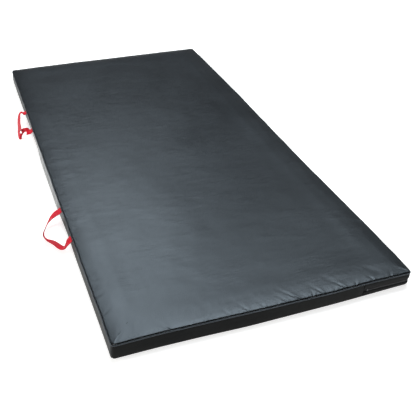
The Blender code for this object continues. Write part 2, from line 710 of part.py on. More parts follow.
def zip_slider():
    """Two plates joined by a post between the parted tapes, with guide walls and a bridge for the pull."""
    x0 = WIDTH / 2
    plate_low = TEETH_TOP + GAP
    plate_high = plate_low + SLIDER_PLATE
    back_high = TAPE_FACE - TAPE_THICKNESS - GAP
    back_low = back_high - SLIDER_PLATE * 0.8

    def block(name, low, high, y_low, y_high, up_low, up_high, collection=CUTTERS):
        size = (high - low, y_high - y_low, up_high - up_low)
        centre = (x0 + (low + high) / 2, (y_low + y_high) / 2, (up_low + up_high) / 2)
        return box(name, size, centre, DARK_METAL, collection)

    half = SLIDER_LENGTH / 2
    bottom, top = ZIP_HEIGHT - SLIDER_WIDTH / 2, ZIP_HEIGHT + SLIDER_WIDTH / 2
    slider = block("zip_slider", plate_low, plate_high, SLIDER_Y - half, SLIDER_Y + half, bottom, top, MAT)
    overlap = SLIDER_PLATE / 3
    parts = [
        block("slider_back", back_low, back_high, SLIDER_Y - half, SLIDER_Y + half, bottom, top),
        block(
            "slider_post",
            back_low + overlap / 2,
            plate_low + overlap,
            SLIDER_Y + half - POST_LENGTH,
            SLIDER_Y + half - overlap,
            ZIP_HEIGHT - POST_WIDTH / 2,
            ZIP_HEIGHT + POST_WIDTH / 2,
        ),
    ]
    for name, edge, inwards in (("slider_wall_lower", bottom, 1), ("slider_wall_upper", top, -1)):
        low, high = sorted((edge, edge + inwards * SLIDER_WALL))
        parts.append(
            block(name, TAPE_FACE + GAP, plate_low + overlap, SLIDER_Y - half, SLIDER_Y + half, low, high)
        )
    bridge_low = plate_high + 2 * GAP + 2 * PULL_PIN_RADIUS
    bridge_high = bridge_low + SLIDER_WALL
    side = BRIDGE_WIDTH / 2
    reach = BRIDGE_LENGTH / 2
    for name, y in (("bridge_rear", SLIDER_Y + reach - SLIDER_WALL), ("bridge_front", SLIDER_Y - reach)):
        parts.append(
            block(
                name,
                plate_high - overlap,
                bridge_high - overlap / 2,
                y,
                y + SLIDER_WALL,
                ZIP_HEIGHT - side,
                ZIP_HEIGHT + side,
            )
        )
    parts.append(
        block(
            "bridge_bar",
            bridge_low,
            bridge_high,
            SLIDER_Y - reach,
            SLIDER_Y + reach,
            ZIP_HEIGHT - side,
            ZIP_HEIGHT + side,
        )
    )
    for part in parts:
        combine(slider, part, "UNION")
    set_origin(slider, Vector((x0, SLIDER_Y, ZIP_HEIGHT)))
    return plate_high


def zip_pull(plate_high):
    """The pull tab: a plate with a pin under the slider's bridge and a finger hole at its far end."""
    axis = Vector((WIDTH / 2 + plate_high + GAP + PULL_PIN_RADIUS, SLIDER_Y, ZIP_HEIGHT))
    slot = BRIDGE_LENGTH / 2 + SLIDER_WALL
    half = PULL_WIDTH / 2
    thick = 2 * PULL_PIN_RADIUS
    outline = bpy.data.curves.new("zip_pull_tab", "CURVE")
    outline.dimensions = "2D"
    outline.fill_mode = "BOTH"
    outline.extrude = thick / 2

    def ring(points):
        spline = outline.splines.new("POLY")
        spline.points.add(len(points) - 1)
        for target, (x, y) in zip(spline.points, points):
            target.co = (x, y, 0.0, 1.0)
        spline.use_cyclic_u = True

    near = PULL_PIN_RADIUS
    tip = [(half * math.cos(a), -PULL_LENGTH + half + half * math.sin(a)) for a in arc(180, 360, 6)]
    ring([(half, near), (-half, near), *tip])
    inner = half - PULL_RIM
    ring([(inner, -near), (inner, -slot), (-inner, -slot), (-inner, -near)])
    hole = [(inner * math.cos(a), -PULL_LENGTH + half + inner * math.sin(a)) for a in arc(180, 360, 5)]
    neck = -slot - 3 * PULL_RIM
    ring([(inner, neck), (-inner, neck), *hole])
    pull = add_object("zip_pull_tab", outline, DARK_METAL)
    # The outline's X runs along the pin, which is upright, and its Y along the zip.
    turned = Matrix(((0, 0, 1), (0, 1, 0), (-1, 0, 0))).to_4x4()
    pull.matrix_world = Matrix.Translation(axis) @ turned


def arc(start_deg, end_deg, steps):
    return [math.radians(start_deg + (end_deg - start_deg) * i / steps) for i in range(steps + 1)]


foam_layers()
bottom_panel()
top_panel()
side_panels()
zip_panels()
piping()
handle("front_handle", FRONT_HANDLE_Y, FRONT_ROUTE)
handle("rear_handle", REAR_HANDLE_Y, REAR_ROUTE)
zip_tapes()
zip_teeth()
zip_stops()
zip_end_tabs()
zip_pull(zip_slider())
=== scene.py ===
"""The looks of the gymnastics mat: a padded leatherette cover, its zip, and two webbing handles.

Metres, +Z up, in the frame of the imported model. Sections are drawn as (out, up): out is measured from the
side panels' outermost face, negative inwards, and up from the floor. A run is a length along the outline,
anticlockwise seen from above, from the left end of the front side's straight.
"""

import math

import bpy
import numpy as np
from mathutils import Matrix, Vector, noise


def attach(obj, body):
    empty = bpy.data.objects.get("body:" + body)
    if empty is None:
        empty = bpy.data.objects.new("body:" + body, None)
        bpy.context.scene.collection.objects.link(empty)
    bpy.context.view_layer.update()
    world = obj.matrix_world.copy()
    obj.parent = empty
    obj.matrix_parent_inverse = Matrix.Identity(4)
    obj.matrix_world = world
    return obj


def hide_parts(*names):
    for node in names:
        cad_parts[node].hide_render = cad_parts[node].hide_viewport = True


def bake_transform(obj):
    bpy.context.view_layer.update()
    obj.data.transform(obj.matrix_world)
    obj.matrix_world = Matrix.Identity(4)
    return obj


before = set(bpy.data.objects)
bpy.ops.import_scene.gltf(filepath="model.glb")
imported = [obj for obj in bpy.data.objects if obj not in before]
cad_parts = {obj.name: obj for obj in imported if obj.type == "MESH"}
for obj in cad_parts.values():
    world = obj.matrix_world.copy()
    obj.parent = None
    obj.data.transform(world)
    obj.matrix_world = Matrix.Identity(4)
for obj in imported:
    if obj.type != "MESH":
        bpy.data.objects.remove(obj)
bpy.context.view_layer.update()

LENGTH = 1.830
WIDTH = 0.915
CORNER_RADIUS = 0.012
LEAST_RADIUS = 0.0020
GAP = 0.0003
LEATHERETTE = 0.0007

CROWN = 0.00075
CROWN_FOOT = 0.04925
CROWN_REACH = 0.280
# How far inside the outline a form's rings end and the grid that closes it begins
CAP_INSET = 0.070
LIFT = 0.0058
LIFT_FOOT = 0.027
LIFT_RISE = 0.012
SEAM_UNDER = 0.0389
PIPING_UP = 0.0409
PIPING_OUT = -0.0012
PIPING_RADIUS = 0.0021
PIPING_CORD_RADIUS = 0.0012
SIDE_FACE = -0.0020
FOOT_UP = 0.0034
CURL_REACH = 0.0028
CURL_HEIGHT = 0.0030
BOTTOM_EDGE = 0.0110
LAP_END = -0.0180
LAP_UP = 0.0010
FOAM_SIDE = -0.0057

ZIP_HEIGHT = 0.0205
ZIP_START_X = 0.2975
ZIP_END_Y = 0.879
LIP = 0.0049
LIP_OUT = -0.0006
TAPE_FACE = -0.0030
TEETH_BASE = -0.0027
TEETH_TOP = -0.0009
SLIDER_Y = 0.8575
TAPE_END = 0.012
STOP_LENGTH = 0.0030

HINGE_X = -0.4591
SEAM_LINE_X = -0.4575
WEBBING_WIDTH = 0.030
WEBBING_THICKNESS = 0.0014
WEBBING_UP = SEAM_UNDER - WEBBING_THICKNESS / 2
HANDLE_SPAN = 0.164
HANDLE_REACH = 0.0745
HANDLE_TAIL = 0.020
TAIL_X = -0.4538
FRONT_HANDLE_Y = -0.354
REAR_HANDLE_Y = 0.391
TAIL_YS = [y + sign * HANDLE_SPAN / 2 for y in (FRONT_HANDLE_Y, REAR_HANDLE_Y) for sign in (-1, 1)]

FRONT_RUN = WIDTH - 2 * CORNER_RADIUS
SIDE_RUN = LENGTH - 2 * CORNER_RADIUS
ARC = CORNER_RADIUS * math.pi / 2
PERIMETER = 2 * (FRONT_RUN + SIDE_RUN + 2 * ARC)


# The camera: a fit to the mat's corners, edges and front seam
def aim_camera():
    data = bpy.data.cameras.new("camera")
    data.sensor_fit = "HORIZONTAL"
    data.sensor_width = 36.0
    data.lens = 56.082
    data.shift_x = 0.0926
    data.clip_start = 0.05
    camera = bpy.data.objects.new("camera", data)
    camera.location = (-0.70109, -2.04568, 1.30060)
    camera.rotation_euler = [math.radians(a) for a in (54.652, -0.546, -19.030)]
    bpy.context.scene.collection.objects.link(camera)
    bpy.context.scene.camera = camera


# Materials
class Nodes:
    """A short way to write a material's node tree."""

    def __init__(self, name, colour, roughness, metallic=0.0):
        self.material = bpy.data.materials.new(name)
        self.material.use_nodes = True
        self.tree = self.material.node_tree
        self.shader = self.tree.nodes["Principled BSDF"]
        self.shader.inputs["Base Color"].default_value = (*colour, 1.0)
        self.shader.inputs["Roughness"].default_value = roughness
        self.shader.inputs["Metallic"].default_value = metallic

    def add(self, kind, inputs=None, **settings):
        node = self.tree.nodes.new(kind)
        for key, value in settings.items():
            setattr(node, key, value)
        for key, value in (inputs or {}).items():
            self.put(node.inputs[key], value)
        return node

    def put(self, socket, value):
        if isinstance(value, bpy.types.NodeSocket):
            self.tree.links.new(value, socket)
        else:
            socket.default_value = value

    def place(self, scale=(1, 1, 1), turn=(0, 0, 0), uv=False):
        coordinates = self.add("ShaderNodeTexCoord")
        source = coordinates.outputs["UV" if uv else "Object"]
        return self.add(
            "ShaderNodeMapping", {"Vector": source, "Scale": scale, "Rotation": turn}
        ).outputs["Vector"]

    def noise(self, vector, scale, detail=3.0, roughness=0.5, distortion=0.0):
        inputs = {
            "Vector": vector,
            "Scale": scale,
            "Detail": detail,
            "Roughness": roughness,
            "Distortion": distortion,
        }
        return self.add("ShaderNodeTexNoise", inputs).outputs["Fac"]

    def cells(self, vector, scale, feature="F1"):
        inputs = {"Vector": vector, "Scale": scale}
        return self.add("ShaderNodeTexVoronoi", inputs, feature=feature).outputs["Distance"]

    def bands(self, vector, scale, direction="X", distortion=0.0):
        inputs = {"Vector": vector, "Scale": scale, "Distortion": distortion}
        return self.add("ShaderNodeTexWave", inputs, bands_direction=direction).outputs["Fac"]

    def math(self, operation, a, b=0.0):
        node = self.add("ShaderNodeMath", operation=operation)
        self.put(node.inputs[0], a)
        self.put(node.inputs[1], b)
        return node.outputs[0]

    def total(self, *values):
        whole = values[0]
        for value in values[1:]:
            whole = self.math("ADD", whole, value)
        return whole

    def span(self, value, low, high, out_low=0.0, out_high=1.0):
        inputs = {"Value": value, "From Min": low, "From Max": high, "To Min": out_low, "To Max": out_high}
        return self.add("ShaderNodeMapRange", inputs).outputs["Result"]

    def blend(self, share, first, second):
        node = self.add("ShaderNodeMix", data_type="RGBA")
        self.put(node.inputs[0], share)
        for socket, colour in ((node.inputs[6], first), (node.inputs[7], second)):
            self.put(socket, colour if isinstance(colour, bpy.types.NodeSocket) else (*colour, 1.0))
        return node.outputs[2]

    def bump(self, height, distance, strength=1.0, under=None):
        inputs = {"Height": height, "Distance": distance, "Strength": strength}
        if under is not None:
            inputs["Normal"] = under
        return self.add("ShaderNodeBump", inputs).outputs["Normal"]

    def finish(self, colour=None, roughness=None, normal=None, **constants):
        for name, value in (("Base Color", colour), ("Roughness", roughness), ("Normal", normal)):
            if value is not None:
                self.put(self.shader.inputs[name], value)
        for name, value in constants.items():
            self.shader.inputs[name.replace("_", " ")].default_value = value
        return self.material


# The stretch of the left side that carrying has rubbed glossy: its middle, its half length and where it fades
POLISHED_Y = 0.08
POLISHED_HALF = 0.28
POLISHED_FADE = 0.12


def leatherette(name, colour, worn, roughness, specular, wrinkle, polish=0.0):
    """Coated cloth: pebbled grain, slack ripples across the mat, scuffs and uneven gloss.

    Polish is how much less rough it is where it is rubbed.
    """
    nodes = Nodes(name, colour, roughness)
    here = nodes.place()
    across = nodes.place(scale=(13, 44, 30), turn=(0, 0, 0.12))
    pebbles = nodes.cells(here, 620, "SMOOTH_F1")
    pores = nodes.noise(here, 2600, 2.0)
    ripples = nodes.noise(across, 1.0, 4.0, 0.6, 0.4)
    calm = nodes.span(nodes.noise(nodes.place(scale=(5, 9, 5)), 1.0, 2.0), 0.42, 0.62, 0.25, 1.0)
    ripples = nodes.math("MULTIPLY", ripples, calm)
    cloud = nodes.noise(here, 4.5, 4.0)
    scuffs = nodes.noise(nodes.place(scale=(90, 14, 60), turn=(0, 0, 0.5)), 1.0, 5.0, 0.7)
    tone = nodes.total(nodes.span(cloud, 0.3, 0.7, 0.0, 0.55), nodes.span(scuffs, 0.62, 0.78, 0.0, 0.35))
    shade = nodes.blend(tone, colour, worn)
    gloss = nodes.total(
        nodes.span(cloud, 0.3, 0.7, -0.035, 0.035),
        roughness,
        nodes.span(scuffs, 0.5, 0.8, 0.0, 0.07),
        nodes.span(pebbles, 0.1, 0.6, 0.03, -0.03),
    )
    if polish:
        along = nodes.add("ShaderNodeSeparateXYZ", {"Vector": here}).outputs["Y"]
        away = nodes.math("ABSOLUTE", nodes.math("SUBTRACT", along, POLISHED_Y))
        rubbed = nodes.span(away, POLISHED_HALF + POLISHED_FADE, POLISHED_HALF, 0.0, polish)
        gloss = nodes.math("SUBTRACT", gloss, rubbed)
    slack = nodes.bump(ripples, 0.0014 * wrinkle)
    grain = nodes.bump(pebbles, 0.00016, 0.8, slack)
    fine = nodes.bump(pores, 0.00003, 0.5, grain)
    return nodes.finish(shade, gloss, fine, Specular_IOR_Level=specular, Specular_Tint=(0.76, 0.88, 1.0, 1.0))


RIB_PITCH = 0.0015
PICK_PITCH = 0.0013


def webbing(name, colour, deep):
    """Woven strap: yarn ribs along it, slanting picks across it, and denser edges."""
    nodes = Nodes(name, colour, 0.55)
    flat = nodes.place(uv=True)
    parts = nodes.add("ShaderNodeSeparateXYZ", {"Vector": flat})
    across, along = parts.outputs["X"], parts.outputs["Y"]
    lean = nodes.total(along, nodes.math("MULTIPLY", across, 0.35))

    def waves(place, pitch):
        return nodes.math("ABSOLUTE", nodes.math("SINE", nodes.math("MULTIPLY", place, math.pi / pitch)))

    ribs = nodes.math("POWER", waves(across, RIB_PITCH), 0.6)
    weave = nodes.math("MULTIPLY", ribs, nodes.math("POWER", waves(lean, PICK_PITCH), 0.5))
    from_middle = nodes.math("ABSOLUTE", nodes.math("SUBTRACT", across, WEBBING_WIDTH / 2))
    edge = nodes.span(from_middle, 0.0125, 0.0145)
    fuzz = nodes.noise(nodes.place(), 1400, 2.0)
    fade = nodes.noise(nodes.place(), 38, 3.0)
    depth = nodes.total(nodes.span(weave, 0.0, 0.75), nodes.span(fade, 0.3, 0.7, -0.12, 0.12))
    shade = nodes.blend(depth, deep, colour)
    shade = nodes.blend(nodes.math("MULTIPLY", edge, 0.25), shade, deep)
    gloss = nodes.total(nodes.span(weave, 0, 1, 0.66, 0.5), nodes.span(fuzz, 0.3, 0.7, -0.05, 0.05))
    normal = nodes.bump(fuzz, 0.00006, 0.5, nodes.bump(weave, 0.00028, 0.9))
    return nodes.finish(shade, gloss, normal, Sheen_Weight=0.05, Sheen_Roughness=0.45, Specular_IOR_Level=0.2)


def tape_cloth(name, colour, lighter):
    nodes = Nodes(name, colour, 0.8)
    here = nodes.place()
    twill = nodes.bands(here, 330, "DIAGONAL")
    fuzz = nodes.noise(here, 900, 2.0)
    shade = nodes.blend(nodes.math("MULTIPLY", twill, 0.6), colour, lighter)
    gloss = nodes.span(fuzz, 0.3, 0.7, 0.72, 0.9)
    normal = nodes.bump(fuzz, 0.00005, 0.5, nodes.bump(twill, 0.00012, 0.8))
    return nodes.finish(shade, gloss, normal, Sheen_Weight=0.15)


def plastic(name, colour, lighter):
    nodes = Nodes(name, colour, 0.35)
    here = nodes.place()
    speckle = nodes.noise(here, 700, 3.0)
    scuffs = nodes.noise(here, 120, 4.0, 0.7)
    shade = nodes.blend(nodes.span(scuffs, 0.45, 0.75), colour, lighter)
    gloss = nodes.span(scuffs, 0.3, 0.7, 0.28, 0.46)
    return nodes.finish(shade, gloss, nodes.bump(speckle, 0.00003, 0.5))


def dark_metal(name, colour, worn):
    """Dark nickel, brushed, with bright scratches where it rubs."""
    nodes = Nodes(name, colour, 0.35, 1.0)
    brushed = nodes.noise(nodes.place(scale=(200, 1500, 200)), 1.0, 3.0)
    scratches = nodes.noise(nodes.place(scale=(900, 160, 700), turn=(0.3, 0.5, 0.2)), 1.0, 5.0, 0.75)
    shade = nodes.blend(nodes.span(scratches, 0.55, 0.72), colour, worn)
    gloss = nodes.span(brushed, 0.3, 0.7, 0.26, 0.44)
    return nodes.finish(shade, gloss, nodes.bump(brushed, 0.00002, 0.6))


def foam(name, colour, darker, cell):
    nodes = Nodes(name, colour, 0.9)
    here = nodes.place()
    pores = nodes.cells(here, cell)
    patches = nodes.noise(here, 9, 4.0)
    tone = nodes.total(nodes.span(pores, 0.1, 0.6, 0.5, 0.0), nodes.span(patches, 0.3, 0.7, 0.0, 0.35))
    shade = nodes.blend(tone, colour, darker)
    return nodes.finish(shade, nodes.span(pores, 0.0, 0.6, 0.98, 0.85), nodes.bump(pores, 0.0005, 0.8))


def twisted(name, colour, darker, pitch):
    """Spun yarn or cord, with strands that run across it at a slant."""
    nodes = Nodes(name, colour, 0.8)
    here = nodes.place()
    strands = nodes.bands(here, pitch, "DIAGONAL", 1.5)
    fuzz = nodes.noise(here, 1500, 2.0)
    shade = nodes.blend(strands, darker, colour)
    gloss = nodes.span(fuzz, 0.3, 0.7, 0.65, 0.9)
    return nodes.finish(shade, gloss, nodes.bump(strands, 0.0002, 0.8))


# Colours new and worn
TOP_BLACK = (0.0032, 0.0037, 0.0047), (0.0060, 0.0068, 0.0082)
SIDE_BLACK = (0.0090, 0.0083, 0.0074), (0.0170, 0.0160, 0.0135)
PIPING_BLACK = (0.022, 0.024, 0.028), (0.034, 0.037, 0.042)
BASE_BLACK = (0.016, 0.017, 0.019), (0.030, 0.031, 0.032)

LEATHER = leatherette("cover_leatherette", *TOP_BLACK, 0.390, 0.50, 0.75)
SIDE_LEATHER = leatherette("side_leatherette", *SIDE_BLACK, 0.56, 0.10, 0.6)
LEFT_LEATHER = leatherette("left_leatherette", *SIDE_BLACK, 0.54, 0.25, 0.4, polish=0.40)
PIPING_LEATHER = leatherette("piping_leatherette", *PIPING_BLACK, 0.44, 0.70, 0.2)
BASE_LEATHER = leatherette("base_leatherette", *BASE_BLACK, 0.62, 0.35, 0.4)
RED = webbing("red_webbing", (0.66, 0.005, 0.024), (0.20, 0.002, 0.007))
TAPE = tape_cloth("zip_tape", (0.012, 0.012, 0.014), (0.030, 0.030, 0.033))
TEETH = plastic("zip_teeth", (0.018, 0.018, 0.020), (0.045, 0.045, 0.048))
METAL = dark_metal("zip_metal", (0.14, 0.14, 0.15), (0.42, 0.41, 0.40))
SOFT_FOAM = foam("soft_foam", (0.62, 0.64, 0.66), (0.44, 0.46, 0.48), 520)
FIRM_FOAM = foam("firm_foam", (0.16, 0.19, 0.24), (0.09, 0.11, 0.14), 340)
CORD = twisted("piping_cord", (0.70, 0.69, 0.65), (0.42, 0.40, 0.36), 260)
THREAD = twisted("black_thread", (0.030, 0.030, 0.033), (0.010, 0.010, 0.011), 900)


# Meshes
def new_piece(name, points, faces, material, uv=None, sharp_deg=40.0):
    mesh = bpy.data.meshes.new(name)
    mesh.from_pydata([tuple(p) for p in points], [], [tuple(int(i) for i in f) for f in faces])
    mesh.materials.append(material)
    if uv is not None:
        layer = mesh.uv_layers.new(name="flat")
        corner = np.zeros(len(mesh.loops), np.int32)
        mesh.loops.foreach_get("vertex_index", corner)
        layer.data.foreach_set("uv", np.asarray(uv, np.float32)[corner].ravel())
    mesh.validate()
    mesh.shade_smooth()
    mesh.set_sharp_from_angle(angle=math.radians(sharp_deg))
    piece = bpy.data.objects.new(name, mesh)
    bpy.context.scene.collection.objects.link(piece)
    return piece


def thicken(piece, thickness=LEATHERETTE):
    """Makes a cloth surface a closed sheet, by adding its inner face."""
    solid = piece.modifiers.new("thickness", "SOLIDIFY")
    solid.thickness = thickness
    solid.offset = -1.0
    return piece


def strip_faces(rows, columns, close_columns=False, start=0):
    """Quads between the rows of a grid of points that is stored row by row."""
    reach = columns if close_columns else columns - 1
    faces = []
    for j in range(rows - 1):
        for k in range(reach):
            a, b = start + j * columns + k, start + j * columns + (k + 1) % columns
            faces.append((a, b, b + columns, a + columns))
    return faces


class Rim:
    """Places along the outline, at the given runs."""

    def __init__(self, runs):
        self.runs = np.asarray(runs, float)
        half_x, half_y = WIDTH / 2 - CORNER_RADIUS, LENGTH / 2 - CORNER_RADIUS
        anchors, outwards, corners = [], [], []
        sides = (
            ((-half_x, -half_y), (1, 0), FRONT_RUN, (1, -1)),
            ((half_x, -half_y), (0, 1), SIDE_RUN, (1, 1)),
            ((half_x, half_y), (-1, 0), FRONT_RUN, (-1, 1)),
            ((-half_x, half_y), (0, -1), SIDE_RUN, (-1, -1)),
        )
        for run in self.runs:
            left = run % PERIMETER
            for (x, y), (dx, dy), straight, corner in sides:
                if left <= straight:
                    anchors.append((x + dx * left, y + dy * left))
                    outwards.append((dy, -dx))
                    corners.append((0, 0))
                    break
                left -= straight
                if left < ARC:
                    turned = math.atan2(-dx, dy) + left / CORNER_RADIUS
                    anchors.append((corner[0] * half_x, corner[1] * half_y))
                    outwards.append((math.cos(turned), math.sin(turned)))
                    corners.append(corner)
                    break
                left -= ARC
            else:
                anchors.append(sides[0][0])
                outwards.append((0, -1))
                corners.append((0, 0))
        self.anchors, self.outwards, self.corners = (np.array(v, float) for v in (anchors, outwards, corners))

    def at(self, out, up):
        """Points at one (out, up), or at one for each run."""
        radius = CORNER_RADIUS + out + np.zeros(len(self.runs))
        round_corner = np.abs(self.corners).sum(1) > 0
        short = np.where(round_corner, np.minimum(radius - LEAST_RADIUS, 0.0), 0.0)
        radius = np.where(round_corner, np.maximum(radius, LEAST_RADIUS), radius)
        flat = self.anchors + self.corners * short[:, None] + self.outwards * radius[:, None]
        return np.column_stack([flat, up + np.zeros(len(self.runs))])


def runs_between(start, end, step, corner_steps=10):
    """Runs from start to end: even steps on the straights, finer ones in corners and near both ends."""
    marks = [start, end]
    for near in (0.0008, 0.002, 0.004):
        marks += [start + near, end - near]
    base = 0.0
    while base - PERIMETER < end:
        for straight in (FRONT_RUN, SIDE_RUN, FRONT_RUN, SIDE_RUN):
            for lap in (base - PERIMETER, base):
                count = round(straight / step)
                marks += [lap + straight * i / count for i in range(count + 1)]
                marks += [lap + straight + ARC * i / corner_steps for i in range(1, corner_steps)]
            base += straight + ARC
    kept = []
    for mark in sorted(m for m in marks if start <= m <= end):
        if not kept or mark - kept[-1] > 0.0003:
            kept.append(mark)
    kept[-1] = end
    return kept


def front_x_run(x):
    return x + WIDTH / 2 - CORNER_RADIUS


def right_y_run(y):
    return FRONT_RUN + ARC + y + LENGTH / 2 - CORNER_RADIUS


def left_y_run(y):
    return 2 * FRONT_RUN + SIDE_RUN + 3 * ARC + LENGTH / 2 - CORNER_RADIUS - y


LEFT_MIDDLE_REAR = 2 * FRONT_RUN + SIDE_RUN + 2.5 * ARC
REAR_RIGHT_MIDDLE = FRONT_RUN + 1.5 * ARC + SIDE_RUN
FRONT_LEFT_MIDDLE = -0.5 * ARC
ZIP_FIRST_RUN = front_x_run(ZIP_START_X)


# How the cover wanders, bows, settles and puckers
WAVES = ((13, 0.00025, 0.4), (23, 0.00030, 2.2), (37, 0.00030, 4.1), (61, 0.00022, 1.3), (97, 0.00012, 5.0))
# How far the outline bows outwards, in mm, at places along each side: at the seam, then at the foot
FRONT_BOWS = (
    (-0.4455, -0.4, 3.4),
    (-0.33, -3.2, 2.2),
    (-0.20, -1.2, 4.0),
    (-0.07, 1.5, 8.2),
    (0.07, 2.6, 7.0),
    (0.19, 3.9, 6.0),
    (0.2975, 0.0, 3.4),
    (0.4455, 0.0, -1.8),
)
RIGHT_BOWS = (
    (-0.85, 1.6, 0.0),
    (-0.722, 3.2, 0.0),
    (-0.542, 1.4, 0.0),
    (-0.361, -0.2, 0.0),
    (-0.181, -0.6, 0.0),
    (0.0, 0.7, 0.0),
    (0.181, 3.0, 0.0),
    (0.361, 4.9, 0.0),
    (0.542, 3.8, 0.0),
    (0.722, 2.4, 0.0),
    (0.903, 0.6, 0.0),
)
REAR_BOWS = ((0.40, 0.4, 0.0), (0.148, -1.4, 0.5), (-0.149, 1.9, 1.5), (-0.40, -0.8, 0.0))
LEFT_BOWS = (
    (0.903, 0.0, 1.8),
    (0.645, -0.6, 2.6),
    (0.387, 0.3, 0.4),
    (0.220, 0.4, 0.6),
    (0.130, 0.5, 7.0),
    (-0.129, 0.5, 6.8),
    (-0.200, 0.5, 7.0),
    (-0.300, 0.5, 3.0),
    (-0.387, 0.4, 2.0),
    (-0.470, 0.0, 3.5),
    (-0.645, -0.7, 2.8),
    (-0.86, -1.3, 2.6),
)
BOW_REACH = 0.050
# Corners that sink: (x, y, depth, reach)
SETTLED_CORNERS = (
    (0.4575, 0.915, 0.0018, 0.150),
    (-0.4575, 0.915, 0.0012, 0.080),
    (0.4575, -0.915, 0.0008, 0.070),
    (-0.4575, -0.915, 0.0004, 0.060),
)
# Puckers along the front seam: (x, depth, reach, lean), then spread ones for the other sides
FRONT_PUCKERS = (
    (-0.345, 0.00025, 0.012, 0.3),
    (-0.294, 0.00110, 0.019, -0.8),
    (-0.236, 0.00035, 0.012, 0.2),
    (-0.199, 0.00100, 0.017, 0.7),
    (-0.159, 0.00060, 0.015, -0.4),
    (-0.126, 0.00095, 0.018, -0.2),
    (-0.096, 0.00075, 0.016, 0.5),
    (-0.066, 0.00110, 0.020, -0.6),
    (-0.021, 0.00100, 0.018, -0.3),
    (0.018, 0.00060, 0.014, 0.4),
    (0.051, 0.00110, 0.020, -0.7),
    (0.088, 0.00170, 0.030, -0.9),
    (0.108, 0.00080, 0.016, -0.4),
    (0.127, 0.00100, 0.020, 0.3),
    (0.162, 0.00140, 0.024, -0.6),
    (0.198, 0.00060, 0.015, 0.3),
    (0.234, 0.00120, 0.023, -0.7),
    (0.267, 0.00070, 0.016, 0.4),
    (0.328, 0.00085, 0.018, -0.3),
    (0.386, 0.00060, 0.014, 0.3),
)
PUCKER_WIDTH = 0.0031
# A pucker across its width: a crease and a ridge on each side, as (rise, place, spread)
PUCKER_PROFILE = ((-0.85, 0.0, 0.75), (0.60, 1.3, 0.95), (0.28, -1.5, 1.1))


def all_puckers():
    """(run, depth, reach, lean, width) for the whole outline, the same each time."""
    draw = np.random.default_rng(7)
    found = [(front_x_run(x), depth, reach, lean, PUCKER_WIDTH) for x, depth, reach, lean in FRONT_PUCKERS]
    run = FRONT_RUN + 0.05
    while run < PERIMETER - 0.04:
        depth = 0.00015 + 0.00075 * draw.random() ** 2.2
        found.append((run, depth, 0.014 + 18 * depth, draw.uniform(-0.7, 0.7), draw.uniform(0.004, 0.007)))
        run += draw.uniform(0.022, 0.085)
    return found


PUCKERS = all_puckers()


def wander(runs):
    """How far the outline strays sideways at each run. The front seam is the straightest."""
    runs = np.asarray(runs)
    turns = runs * 2 * math.pi / PERIMETER
    calm = 0.3 + 0.7 * np.clip((runs - FRONT_RUN) / 0.1, 0, 1) * np.clip((PERIMETER - runs) / 0.1, 0, 1)
    return calm * sum(size * np.sin(count * turns + phase) for count, size, phase in WAVES)


def filled(z):
    """How far the filling lifts the cover at a height: nothing at the zip, LIFT from the seam up."""
    share = np.clip((z - LIFT_FOOT) / LIFT_RISE, 0, 1)
    return LIFT * share * share * (3 - 2 * share)


def smooth_bows():
    """The bows of the seam and of the foot as dense smooth tables along the whole outline."""
    half = FRONT_RUN / 2
    marks = [(front_x_run(x), seam, foot) for x, seam, foot in FRONT_BOWS]
    marks += [(right_y_run(y), seam, foot) for y, seam, foot in RIGHT_BOWS]
    marks += [(FRONT_RUN + 2 * ARC + SIDE_RUN + half - x, seam, foot) for x, seam, foot in REAR_BOWS]
    marks += [(left_y_run(y), seam, foot) for y, seam, foot in LEFT_BOWS]
    runs, seam, foot = np.array(marks).T
    dense = np.linspace(0, PERIMETER, 1201)[:-1]
    window = np.hanning(27)
    window /= window.sum()
    smooth = []
    for values in (seam, foot):
        filled_in = np.interp(dense, runs, values / 1000, period=PERIMETER)
        wrapped = np.concatenate([filled_in[-13:], filled_in, filled_in[:13]])
        smooth.append(np.convolve(wrapped, window, "valid"))
    return dense, smooth


BOW_RUNS, BOWS = smooth_bows()


def bow(runs, up):
    """How far the cover bows outwards at runs and heights. Beside the zip it is straight."""
    at_seam, at_foot = (np.interp(runs, BOW_RUNS, table, period=PERIMETER) for table in BOWS)
    zipped = np.clip((runs - front_x_run(ZIP_START_X - 0.02)) / 0.02, 0, 1) * (runs < REAR_RIGHT_MIDDLE)
    high = np.clip(up / SEAM_UNDER, 0, 1)
    free = high * at_seam + (1 - high) * at_foot
    above, below = np.clip((up - 0.027) / 0.011, 0, 1), np.clip(1 - up / 0.009, 0, 1)
    beside_zip = above * at_seam + below * at_foot
    return zipped * beside_zip + (1 - zipped) * free


def to_sides(points):
    """How far each point is inside the nearer long side, and the nearer short one."""
    return WIDTH / 2 - np.abs(points[:, 0]), LENGTH / 2 - np.abs(points[:, 1])


def inset(points):
    """How far each point is inside the outline."""
    return np.minimum(*to_sides(points))


def pushed_out(points, amount, beyond=0.0):
    """The points moved outwards by amount across their nearest side, and by beyond across the other."""
    from_long, from_short = to_sides(points)
    places = points.copy()
    places[:, 0] += np.where(from_long < from_short, amount, beyond) * np.sign(points[:, 0])
    places[:, 1] += np.where(from_long < from_short, beyond, amount) * np.sign(points[:, 1])
    return places


def settle(points):
    """Bows the sides, lifts the upper half a little, as the foam fills it, and lets the corners sink."""
    z = points[:, 2]
    outwards = bow(run_of(points), z) * np.exp(-((np.maximum(inset(points), 0) / BOW_REACH) ** 2))
    beyond = 1 - np.clip(sum(to_sides(points)) / 0.030, 0, 1)
    places = pushed_out(points, outwards, outwards * beyond)
    places[:, 2] += filled(z)
    share = np.clip((z - 0.029) / 0.015, 0, 1)
    for x, y, depth, reach in SETTLED_CORNERS:
        away = np.hypot(places[:, 0] - x, (places[:, 1] - y) * 0.85) / reach
        places[:, 2] -= share * depth * np.exp(-1.6 * away**2)
    return places


